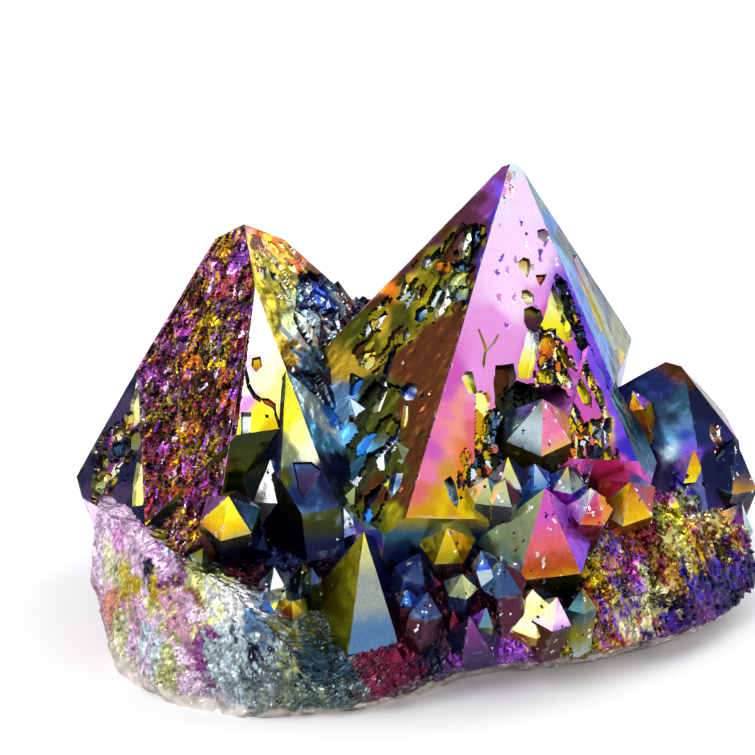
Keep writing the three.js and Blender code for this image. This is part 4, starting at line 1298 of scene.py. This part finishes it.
def ring_triangles(rings, count):
    """Triangles between rings of points, then from the first and last ring to the two points after all."""
    k = np.arange(count)
    after = (k + 1) % count
    triangles = []
    for low in range(0, (rings - 1) * count, count):
        high = low + count
        triangles.append(np.stack([low + k, low + after, high + after], 1))
        triangles.append(np.stack([low + k, high + after, high + k], 1))
    top, foot, summit = (rings - 1) * count, np.full(count, rings * count), np.full(count, rings * count + 1)
    triangles += [np.stack([foot, after, k], 1), np.stack([top + k, top + after, summit], 1)]
    return np.concatenate(triangles)


def matrix_skin(skin, rings, front_step, back_step):
    angles = np.concatenate([np.arange(-185, 8, front_step), np.arange(8, 175, back_step)]) * DEG
    levels = np.linspace(0, len(MATRIX_LEVELS) - 1, rings)
    ring, angle = [g.ravel() for g in np.meshgrid(levels, angles, indexing="ij")]
    points = matrix_points(ring, angle)
    near = points / MATRIX_LUMP
    lumps = 0.65 * noise(near) + 0.35 * noise(near * 2.3 + 17)
    outward = np.stack([np.cos(angle), np.sin(angle), np.where(ring == 0, 0, 0.6)], axis=1)
    points = broken_back(points + outward * (MATRIX_ROUGHNESS * lumps)[:, None])
    grid = points.reshape(rings, len(angles), 3)
    along, up = np.roll(grid, -1, axis=1) - np.roll(grid, 1, axis=1), np.gradient(grid, axis=0)
    normal = np.cross(along, up).reshape(-1, 3)
    normal /= np.maximum(np.linalg.norm(normal, axis=1), 1e-9)[:, None]
    grain, number = rock_grains(points)
    fine = rough_noise(points @ ROCK_GRAIN, 1.5, 4, 0.6, SEED + 70)
    streak = 0.5 - np.abs(rough_noise(points @ ROCK_GRAIN, 0.8, 3, 0.6, SEED + 80))
    relief = (0.26 * fine + 0.3 * streak + 0.22 * (grain - 0.4)) * smoothstep(ring / 0.15)
    slope = grid_slope(relief.reshape(rings, len(angles)), along, up)
    points = points + normal * relief[:, None]
    bare = bare_rock(points, ring, angle)
    tone = scrambled(np.mod(0.5 + 0.5 * number + 7.1, 1), 91.3)
    films = matrix_films(points, tone, grain, slope, bare)
    flecks = patched(points + 1.5 * wandered(points, 3.0, 0.6, 10), ROCK_FLECKS)
    # Crevices, darkened as painted shade, and flecks only on the film; glitter everywhere.
    finish = np.stack([0.35 * (1 - bare), fleck_share(points) * (1 - bare), 0.5 * (1 - bare) + 0.2], axis=1)
    ends = [[*MATRIX_CENTRE, 0.0], [*MATRIX_CENTRE, SUMMIT_HEIGHT]]
    end_films = [film("quartz"), film("ink")]
    points, films, flecks, finish = (
        np.concatenate(part)
        for part in ((points, ends), (films, end_films), (flecks, end_films), (finish, [[0, 0, 0.2]] * 2))
    )
    triangles = ring_triangles(rings, len(angles))
    skin.add(points, triangles, films[triangles], flecks[triangles], finish[triangles])


# ---- Finishing the crystals -----------------------------------------------------------------------------


def bark_relief(places, plane):
    """Upright ridges of a rough growth surface, broken by ledges."""
    ridges = 1 - np.abs(rough_noise(lifted(places * (1, 0.38), 2.2), 1.3, 3, 0.6, SEED + 31)) * 2
    lumps = rough_noise(lifted(places, 5.5), 4.2, 3, 0.5, SEED + 32)
    return 0.34 * ridges + 0.4 * lumps - 0.25


def bark_paint(places, plane):
    return patched(places + 0.8 * wandered(places, 3.0, 0.6, 4), BARK.films)


def small_sides(name, row):
    """The finish of a smaller point from its row in the table."""
    *_, reach, _, tops, foot = row
    tops = {int(number): names for number, names in (face.split(":") for face in tops.split())}
    trait = ord(name[0])

    def finish(plane):
        if plane.kind == "pyramid":
            unseen = UNSEEN_FILMS[(plane.number * 5 + len(name) * 3 + trait) % len(UNSEEN_FILMS)]
            names, start, length = tops.get(plane.number, unseen), 0.0, reach * 1.9
        else:
            names, length = (foot, 8.0) if plane.kind == "prism" else ("ink", 5.0)
            start = reach * 1.2

        def paint(places, plane):
            wave = 0.06 * rough_noise(plane.at(places), 1.5, 3, 0.6, SEED + 50)
            return ramp(names, (places[:, 1] - start) / length + wave)

        if plane.kind in ("root", "ground") or name.startswith("back"):
            return Side(paint, 1.4, fine_waves(0.05, 1.3), glitter=0.2, worn=0.1)
        square = [(-30, -9), (30, -9), (30, 30), (-30, 30)]
        turn = 7 * (plane.number + trait) + 3 * len(name) + int(10 * reach)
        specks = Etch(square, "white ink - ice ash ink", (0.24, 0.6), (0.02, 0.12), 0.04, turn=turn)
        return Side(paint, 0.34, fine_waves(0.05, 1.3), etch=[specks], glitter=0.2, worn=0.1)

    return finish


def plain_side(names, spacing=0.9, amount=0.05):
    def finish(plane):
        down = plane.place(plane.corners)[:, 1]

        def paint(places, plane):
            wave = 0.1 * rough_noise(plane.at(places), 4, 3, 0.6, SEED + 51)
            return ramp(names, (places[:, 1] - down.min()) / (down.max() - down.min()) + wave)

        coarse = spacing if plane.kind in ("pyramid", "cut") else spacing * 1.6
        return Side(paint, coarse, fine_waves(amount, 2.2), worn=0.1)
    return finish


# ---- Materials ------------------------------------------------------------------------------------------


class Tree:
    """Adds nodes to a node tree. Feeds give each input a value, or the output that it is joined to."""

    def __init__(self, tree):
        self.tree = tree

    def feed(self, made, feeds):
        for key, value in feeds.items():
            if isinstance(value, bpy.types.NodeSocket):
                self.tree.links.new(value, made.inputs[key])
            else:
                made.inputs[key].default_value = value

    def add(self, kind, feeds={}, **settings):
        made = self.tree.nodes.new(kind)
        for key, value in settings.items():
            setattr(made, key, value)
        self.feed(made, feeds)
        return made.outputs


def new_group(name, kind, inputs, outputs):
    group = bpy.data.node_groups.new(name, kind)
    for way, sockets in (("INPUT", inputs), ("OUTPUT", outputs)):
        for label, (sort, *value) in sockets.items():
            socket = group.interface.new_socket(name=label, in_out=way, socket_type="NodeSocket" + sort)
            if value:
                socket.default_value = value[0]
    return group, Tree(group)


def aura_film_group():
    """The vapour-deposited film: its own colour at each corner, flecks, crevices darkened as painted shade,
    and fine changes of tone.
    """
    found = bpy.data.node_groups.get("Aura film")
    if found:
        return found
    group, tree = new_group(
        "Aura film", "ShaderNodeTree",
        {
            "Fleck scale": ("Float", 1900.0), "Crevice scale": ("Float", 1500.0),
            "Grain scale": ("Float", 4200.0),
        },
        {"Color": ("Color",), "Matt": ("Float",), "Height": ("Float",)},
    )
    source = tree.add("NodeGroupInput")
    coat, fleck, finish = (
        tree.add("ShaderNodeAttribute", attribute_name=name)["Vector"] for name in ("coat", "fleck", "finish")
    )
    share = tree.add("ShaderNodeSeparateXYZ", {0: finish})
    place = tree.add("ShaderNodeTexCoord")["Object"]
    upright = tree.add("ShaderNodeMapping", {0: place, "Scale": (1, 1, 0.55)})[0]

    def cloud(scale, detail, roughness):
        feeds = {0: upright, "Scale": source[scale], "Detail": detail, "Roughness": roughness}
        return tree.add("ShaderNodeTexNoise", feeds)["Fac"]

    def maths(operation, *values, clamp=False):
        return tree.add("ShaderNodeMath", dict(enumerate(values)), operation=operation, use_clamp=clamp)[0]

    flecked = cloud("Fleck scale", 4, 0.7)
    limit = maths("MULTIPLY_ADD", share["Y"], -0.42, 0.72)
    flecks = maths("MULTIPLY", maths("SUBTRACT", flecked, limit), 14, clamp=True)
    # Painted shade: the film darkened, and made less glossy, in the crevices of a fine noise.
    cracked = cloud("Crevice scale", 5, 0.65)
    limit = maths("MULTIPLY_ADD", share["X"], 0.42, 0.24)
    crevices = maths("MULTIPLY", maths("SUBTRACT", limit, cracked), 12, clamp=True)
    grain = maths("SUBTRACT", cloud("Grain scale", 2, 0.5), 0.5)
    mixed = tree.add("ShaderNodeMix", {0: flecks, 6: coat, 7: fleck}, data_type="RGBA")[2]
    tone = maths("MULTIPLY_ADD", maths("MULTIPLY", grain, share["Z"]), 2.4, 1.0)
    tone = maths("MULTIPLY", tone, maths("MULTIPLY_ADD", crevices, -0.85, 1.0))
    height = maths("MULTIPLY_ADD", grain, share["Z"], maths("MULTIPLY", flecks, 0.35))
    tree.add("NodeGroupOutput", {
        "Color": tree.add("ShaderNodeVectorMath", {0: mixed, "Scale": tone}, operation="SCALE")[0],
        "Matt": maths("MULTIPLY_ADD", crevices, 0.4, 0.22),
        "Height": maths("MULTIPLY_ADD", flecked, 0.4, maths("SUBTRACT", height, crevices)),
    })
    return group


def new_material(name):
    material = bpy.data.materials.new(name)
    material.use_nodes = True
    return material, Tree(material.node_tree), material.node_tree.nodes["Principled BSDF"]


def coated_quartz():
    found = bpy.data.materials.get("Aura coated quartz")
    if found:
        return found
    settings = bpy.context.scene.aura_coat
    material, tree, shader = new_material("Aura coated quartz")
    coat = tree.add("ShaderNodeGroup", node_tree=aura_film_group())
    relief = {"Height": coat["Height"], "Distance": settings.bump_depth, "Strength": settings.bump_strength}
    tree.feed(shader, {
        "Base Color": coat["Color"], "Roughness": coat["Matt"], "Metallic": settings.metallic,
        "Normal": tree.add("ShaderNodeBump", relief)["Normal"],
        "Coat Weight": settings.gloss, "Coat Roughness": 0.08,
    })
    return material


# ---- What a user can change -----------------------------------------------------------------------------

LENGTH = dict(subtype="DISTANCE", unit="LENGTH")


class AuraCoat(bpy.types.PropertyGroup):
    metallic: FloatProperty(
        name="Metallic", description="How far the film mirrors like metal", default=0.93, min=0, max=1
    )
    gloss: FloatProperty(name="Gloss", description="Clear lustre over the film", default=0.04, min=0, max=1)
    bump_strength: FloatProperty(
        name="Relief strength", description="Strength of the finest relief", default=0.35, min=0, max=1
    )
    bump_depth: FloatProperty(
        name="Relief depth", description="Depth of the finest relief", default=0.0002, **LENGTH
    )


class AuraMesh(bpy.types.PropertyGroup):
    front_spacing: FloatProperty(
        name="Front detail", description="Point spacing on the big front faces, in mm", default=0.24, min=0.1
    )
    side_spacing: FloatProperty(
        name="Side detail", description="Point spacing on the other big faces, in mm", default=0.6, min=0.2
    )
    matrix_rings: IntProperty(
        name="Matrix rings", description="Rings of points up the matrix", default=130, min=20
    )
    tiny_density: FloatProperty(
        name="Tiny points", description="Tiny druse points to the square millimetre", default=2.4, min=0
    )
    tiny_smallest: FloatProperty(
        name="Smallest point", description="Width of the tiniest druse", default=0.00045, **LENGTH
    )
    tiny_largest: FloatProperty(
        name="Largest point", description="Width of the largest of it", default=0.0009, **LENGTH
    )


class AuraStage(bpy.types.PropertyGroup):
    floor_colour: FloatVectorProperty(
        name="Floor", description="Colour of the floor", default=(0.86, 0.86, 0.87), subtype="COLOR", min=0,
        max=1,
    )
    daylight: FloatProperty(
        name="Daylight", description="Strength of the all-round light", default=1.0, min=0
    )
    window: FloatProperty(
        name="Window", description="Power of the big soft light, in watts", default=2.2, min=0, unit="POWER"
    )
    camera_away: FloatProperty(name="Camera distance", description="From the cluster", default=0.28, **LENGTH)
    camera_lens: FloatProperty(
        name="Lens", description="Focal length", default=106.81, subtype="DISTANCE_CAMERA", unit="CAMERA"
    )


def settle(piece):
    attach(piece, BODY)
    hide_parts(NODE)


def mesh_places(piece):
    """Where the piece's vertices are, in the grower's coordinates."""
    places = np.empty(len(piece.data.vertices) * 3, np.float32)
    piece.data.vertices.foreach_get("co", places)
    return places.reshape(-1, 3) * 1000 + MIDDLE


def druse_density(piece, thick):
    """How thickly the tiny druse grows at each vertex."""
    layer = piece.data.attributes.new("druse", "FLOAT", "POINT")
    layer.data.foreach_set("value", thick.astype(np.float32))


# ---- Operators ------------------------------------------------------------------------------------------


class AuraMaker:
    """What every maker of a piece shares."""

    bl_options = {"REGISTER", "UNDO"}


class AURA_OT_tall_crystal(AuraMaker, bpy.types.Operator):
    """Make the tallest crystal with its etched faces, and the crystal grown on its right edge"""

    bl_idname = "aura.tall_crystal"
    bl_label = "Tall Crystal"

    def execute(self, context):
        mesh = context.scene.aura_mesh
        fine, coarse = mesh.front_spacing, mesh.side_spacing
        skin = Skin()
        sides = {
            ("pyramid", 4): TALL_FRONT.side(
                fine, fine_waves(0.07, 2.0), (3.0, 0.6), fleck=0.04, crevice=0.04, glitter=0.12, worn=0.2
            ),
            ("pyramid", 3): TALL_LEFT.side(
                fine, fine_waves(0.05, 1.8, (1, 2.5)), flecks="orange", fleck=0.03, glitter=0.2, worn=0.1
            ),
            ("pyramid", 5): TALL_RIGHT.side(0.36, fine_waves(0.07, 1.6), glitter=0.3, worn=0.1),
            ("pyramid", 2): Side(
                "plum>maroon>rust>olive", 0.5, fine_waves(0.08, 1.8), flecks="orange", fleck=0.2, crevice=0.2
            ),
            ("prism", 4): Side("olive>deepteal>ink>ink", 0.5, fine_waves(0.1, 1.5, (3, 1))),
        }
        crystal_skin(skin, TALL, sides, plain_side("teal>violet>gold>moss", coarse))
        spur = {
            ("pyramid", 4): TALL_SPUR_FRONT.side(
                0.26, fine_waves(0.09, 1.5), flecks="gold", fleck=0.12, crevice=0.15
            ),
            ("pyramid", 5): Side(
                "azure>teal>deepteal>teal", 0.35, fine_waves(0.14, 0.9, (1, 4)), flecks="ice", fleck=0.12,
                crevice=0.2,
            ),
        }
        crystal_skin(skin, TALL_SPUR, spur, plain_side("magenta>plum>maroon", coarse))
        settle(skin.mesh_object("tall_crystal", warp=ripple))
        return {"FINISHED"}


class AURA_OT_left_crystal(AuraMaker, bpy.types.Operator):
    """Make the left crystal with its rough upright plate"""

    bl_idname = "aura.left_crystal"
    bl_label = "Left Crystal"

    def execute(self, context):
        mesh = context.scene.aura_mesh
        fine, coarse = mesh.front_spacing, mesh.side_spacing
        skin = Skin()
        bark = Side(bark_paint, fine, bark_relief, (), [BARK_STEPS], BARK_FLECKS, 0.3, 0.4, 0.5, 0.1, 0.5)
        sides = {
            ("cut", 0): bark,
            ("pyramid", 3): LEFT_FAR.side(
                0.28, fine_waves(0.07, 1.6), flecks="gold", fleck=0.08, crevice=0.15, glitter=0.3, worn=0.1
            ),
            ("pyramid", 4): LEFT_FRONT.side(
                fine, fine_waves(0.05, 2.4), fleck=0.03, crevice=0.04, glitter=0.1, worn=0.2
            ),
            ("pyramid", 5): LEFT_RIGHT.side(
                fine, fine_waves(0.09, 1.8), flecks="cream", fleck=0.1, crevice=0.15, glitter=0.3, worn=0.1
            ),
            ("prism", 4): Side("bottle>moss>ink>ink", 0.4, fine_waves(0.12, 1.5, (3, 1))),
            ("prism", 3): Side("lilac>mauve", 0.5, fine_waves(0.12, 1.5)),
        }
        crystal_skin(skin, LEFT, sides, plain_side("mauve>indigo>teal>plum", coarse))
        plate = {("cut", 0): bark, ("cut", 2): Side("gold>lemon", 0.4, fine_waves(0.1)), ("pyramid", 3): bark}
        crystal_skin(skin, LEFT_PLATE, plate, plain_side("maroon>umber>brown", coarse, 0))
        spur = {
            ("pyramid", 4): LEFT_SPUR_FRONT.side(0.3, fine_waves(0.09, 1.5)),
            ("pyramid", 5): LEFT_SPUR_RIGHT.side(0.35, fine_waves(0.12, 1.5)),
        }
        crystal_skin(skin, LEFT_SPUR, spur, plain_side("moss>bottle>ink>ink", 0.5))
        settle(skin.mesh_object("left_crystal", warp=ripple))
        return {"FINISHED"}


class AURA_OT_right_crystal(AuraMaker, bpy.types.Operator):
    """Make the third, low crystal on the right"""

    bl_idname = "aura.right_crystal"
    bl_label = "Right Crystal"

    def execute(self, context):
        coarse = context.scene.aura_mesh.side_spacing
        skin = Skin()
        sides = {
            ("pyramid", 3): RIGHT_LEFT.side(0.3, fine_waves(0.05, 2.0), (3.0, 0.2), glitter=0.1),
            ("pyramid", 4): RIGHT_FRONT.side(0.3, fine_waves(0.05, 2.0), glitter=0.1),
        }
        crystal_skin(skin, RIGHT, sides, plain_side("charcoal>ink>plum", coarse))
        settle(skin.mesh_object("right_crystal", warp=ripple))
        return {"FINISHED"}


def grow_points(skin, back):
    """Adds the points of the table that stand at the back, or else those that don't."""
    for name, row in POINTS.items():
        if name.startswith("back") == back:
            crystal_skin(skin, point_crystal(row), {}, small_sides(name, row))


class AURA_OT_small_points(AuraMaker, bpy.types.Operator):
    """Make the medium and small points round the main crystals"""

    bl_idname = "aura.small_points"
    bl_label = "Small Points"

    def execute(self, context):
        skin = Skin()
        sides = {
            ("pyramid", 3): Side("olive>olive>olive>moss", 0.35, fine_waves(0.05, 1.6)),
            ("pyramid", 4): Side("lemon>straw>ash>ash>steel>steel", 0.35, fine_waves(0.05, 1.6)),
            ("pyramid", 5): Side("navy>ink>maroon", 0.35, fine_waves(0.05, 1.6)),
        }
        crystal_skin(skin, ARROW, sides, plain_side("slate>cobalt>navy", 0.6))
        grow_points(skin, back=False)
        settle(skin.mesh_object("small_points", warp=ripple))
        return {"FINISHED"}


class AURA_OT_back_points(AuraMaker, bpy.types.Operator):
    """Make the points that grew on the far side"""

    bl_idname = "aura.back_points"
    bl_label = "Back Points"

    def execute(self, context):
        skin = Skin()
        grow_points(skin, back=True)
        settle(skin.mesh_object("back_points", warp=ripple))
        return {"FINISHED"}


class AURA_OT_matrix(AuraMaker, bpy.types.Operator):
    """Make the rough quartz matrix that the crystals stand on"""

    bl_idname = "aura.matrix"
    bl_label = "Matrix"

    def execute(self, context):
        skin = Skin()
        matrix_skin(skin, context.scene.aura_mesh.matrix_rings, 0.45, 1.1)
        piece = skin.mesh_object("matrix", sharp=40)
        places = mesh_places(piece)
        thick = 0.2 + 0.8 * smoothstep(noise(places / 5, SEED + 77) + 0.4)
        thick = smoothstep((places[:, 2] - 3) / 2.5) * thick
        thick *= np.where(places[:, 1] < 4, smoothstep((places[:, 0] - 15) / 10), 0.7)
        for crystal in MAIN_CRYSTALS:
            thick[inside_crystal(places, crystal, 0.4)] = 0
        for row in POINTS.values():
            thick[inside_crystal(places, point_crystal(row), 0.3)] = 0
        druse_density(piece, thick)
        settle(piece)
        return {"FINISHED"}


class AURA_OT_druse(AuraMaker, bpy.types.Operator):
    """Make the drusy points of the matrix"""

    bl_idname = "aura.druse"
    bl_label = "Druse"

    def execute(self, context):
        skin = Skin()
        for k, crystal in enumerate(druse_crystals()):

            def finish(plane, k=k):
                tone = 0.75 + 0.55 * noise(plane.normal[None] * 3.1 + k * 1.7, SEED + 60)[0]
                return Side(lambda places, plane: np.clip(rock_film(plane.at(places)) * tone, 0, 1), 0.5)

            crystal_skin(skin, crystal, {}, finish)
        piece = skin.mesh_object("druse", warp=ripple)
        places = mesh_places(piece)
        druse_density(piece, smoothstep((places[:, 0] - 13) / 6) * (places[:, 1] < 4) * (places[:, 2] > 2))
        settle(piece)
        return {"FINISHED"}


def druse_cloud_group():
    """Scatters tiny six-sided points over a mesh, thickest where its 'druse' attribute is high."""
    group, tree = new_group(
        "Druse cloud", "GeometryNodeTree",
        {
            "Geometry": ("Geometry",), "Density": ("Float",), "Smallest": ("Float",), "Largest": ("Float",),
            "Seed": ("Int",), "Material": ("Material",),
        },
        {"Geometry": ("Geometry",)},
    )
    add, source = tree.add, tree.add("NodeGroupInput")
    seed = source["Seed"]
    thick = add("GeometryNodeInputNamedAttribute", {"Name": "druse"}, data_type="FLOAT")["Attribute"]
    density = add("ShaderNodeMath", {0: thick, 1: source["Density"]}, operation="MULTIPLY")[0]
    spread = {"Mesh": source["Geometry"], "Density": density, "Seed": seed}
    spread = add("GeometryNodeDistributePointsOnFaces", spread, distribute_method="RANDOM")
    cone = {"Vertices": SIDES, "Radius Top": 0.0, "Radius Bottom": 0.5, "Depth": 0.65}
    cone = add("GeometryNodeMeshCone", cone, fill_type="NGON")["Mesh"]
    size = {2: source["Smallest"], 3: source["Largest"], "Seed": seed}
    size = add("FunctionNodeRandomValue", size, data_type="FLOAT")[1]
    turn = {0: (-0.4, -0.4, 0), 1: (0.4, 0.4, 6.28), "Seed": seed}
    turn = add("FunctionNodeRandomValue", turn, data_type="FLOAT_VECTOR")[0]
    tilted = add("FunctionNodeRotateRotation", {0: spread["Rotation"], 1: turn}, rotation_space="LOCAL")[0]
    cones = {"Points": spread["Points"], "Instance": cone, "Rotation": tilted, "Scale": size}
    cones = add("GeometryNodeInstanceOnPoints", cones)["Instances"]
    cones = add("GeometryNodeRealizeInstances", {"Geometry": cones})["Geometry"]
    coat = add("GeometryNodeInputNamedAttribute", {"Name": "coat"}, data_type="FLOAT_VECTOR")["Attribute"]
    tone = add("FunctionNodeRandomValue", {2: 0.25, 3: 1.7, "Seed": seed}, data_type="FLOAT")[1]
    toned = add("ShaderNodeVectorMath", {0: coat, "Scale": tone}, operation="SCALE")[0]
    store = {"Geometry": cones, "Name": "coat", "Value": toned}
    store = add("GeometryNodeStoreNamedAttribute", store, data_type="FLOAT_VECTOR", domain="FACE")["Geometry"]
    dressed = add("GeometryNodeSetMaterial", {"Geometry": store, "Material": source["Material"]})["Geometry"]
    add("NodeGroupOutput", {"Geometry": dressed})
    return group


class AURA_OT_druse_cloud(AuraMaker, bpy.types.Operator):
    """Scatter the tiniest drusy points over the matrix"""

    bl_idname = "aura.druse_cloud"
    bl_label = "Tiny Druse"

    def execute(self, context):
        group = druse_cloud_group()
        for host in ("matrix", "druse"):
            self.scatter(context, host, group)
        return {"FINISHED"}

    def scatter(self, context, host, group):
        mesh = context.scene.aura_mesh
        name = "tiny_druse_on_" + host
        piece = linked(name, bpy.data.objects[host].data.copy())
        modifier = piece.modifiers.new("Druse cloud", "NODES")
        modifier.node_group = group
        wanted = {
            "Density": mesh.tiny_density * 1e6, "Smallest": mesh.tiny_smallest, "Largest": mesh.tiny_largest,
            "Seed": 7, "Material": coated_quartz(),
        }
        for item in modifier.node_group.interface.items_tree:
            if item.in_out == "INPUT" and item.name in wanted:
                modifier[item.identifier] = wanted[item.name]
        context.view_layer.update()
        seen = piece.evaluated_get(context.evaluated_depsgraph_get())
        plain = bpy.data.meshes.new_from_object(seen)
        piece.modifiers.remove(modifier)
        piece.data = plain
        plain.name = name
        settle(piece)


class AURA_OT_stage(AuraMaker, bpy.types.Operator):
    """Make the pale floor, the soft light and the camera"""

    bl_idname = "aura.stage"
    bl_label = "Stage"

    def execute(self, context):
        scene = context.scene
        stage = scene.aura_stage
        mesh = bpy.data.meshes.new("floor")
        half = 1.2
        corners = [(-half, -half, 0), (half, -half, 0), (half, half, 0), (-half, half, 0)]
        mesh.from_pydata(corners, [], [(0, 1, 2, 3)])
        floor = linked("floor", mesh)
        material, tree, shader = new_material("Pale floor")
        tree.feed(shader, {"Base Color": (*stage.floor_colour, 1), "Roughness": 0.9})
        mesh.materials.append(material)

        world = bpy.data.worlds.new("Studio")
        world.use_nodes = True
        sky = world.node_tree.nodes["Background"]
        Tree(world.node_tree).feed(sky, {"Color": (1, 1, 1, 1), "Strength": stage.daylight})
        scene.world = world
        self.soft_light("window", (-0.35, -0.35, 0.6), 0.5, stage.window)
        self.soft_light("back", (0.45, 0.35, 0.5), 0.4, stage.window * 0.7)

        data = bpy.data.cameras.new("camera")
        data.sensor_width = 36
        data.lens = stage.camera_lens
        data.clip_start = 0.01
        camera = linked("camera", data)
        target = Vector(CAMERA_TARGET - MIDDLE) / 1000
        camera.location = target - Vector(CAMERA_AHEAD) * stage.camera_away
        camera.rotation_euler = (90 * DEG - CAMERA_HEIGHT, 0, 0)
        scene.camera = camera
        scene.view_settings.view_transform = "Standard"
        return {"FINISHED"}

    def soft_light(self, name, place, size, power):
        data = bpy.data.lights.new(name, "AREA")
        data.shape = "DISK"
        data.size = size
        data.energy = power
        light = linked(name, data)
        light.location = place
        light.rotation_euler = (Vector((0, 0, 0.025)) - Vector(place)).to_track_quat("-Z", "Y").to_euler()


class AURA_PT_panel(bpy.types.Panel):
    bl_label = "Aura Quartz Cluster"
    bl_space_type = "VIEW_3D"
    bl_region_type = "UI"
    bl_category = "Aura Quartz"

    def draw(self, context):
        for group in ("aura_coat", "aura_mesh", "aura_stage"):
            box = self.layout.box()
            settings = getattr(context.scene, group)
            for key in settings.__annotations__:
                box.prop(settings, key)
        for operator in MAKERS:
            self.layout.operator(operator.bl_idname)


MAKERS = (
    AURA_OT_tall_crystal, AURA_OT_left_crystal, AURA_OT_right_crystal, AURA_OT_small_points,
    AURA_OT_back_points, AURA_OT_matrix, AURA_OT_druse, AURA_OT_druse_cloud, AURA_OT_stage,
)
SETTINGS = (("aura_coat", AuraCoat), ("aura_mesh", AuraMesh), ("aura_stage", AuraStage))


def register():
    for kind in (*(kind for _, kind in SETTINGS), *MAKERS, AURA_PT_panel):
        bpy.utils.register_class(kind)
    for name, kind in SETTINGS:
        setattr(bpy.types.Scene, name, PointerProperty(type=kind))


def unregister():
    for name, _ in SETTINGS:
        delattr(bpy.types.Scene, name)
    for kind in (AURA_PT_panel, *MAKERS[::-1], *(kind for _, kind in SETTINGS[::-1])):
        bpy.utils.unregister_class(kind)


def main():
    register()
    for maker in MAKERS:
        name = maker.bl_idname.split(".")[1]
        if getattr(bpy.ops.aura, name)() != {"FINISHED"}:
            raise RuntimeError(f"{name} could not be made")


if __name__ == "__main__":
    main()
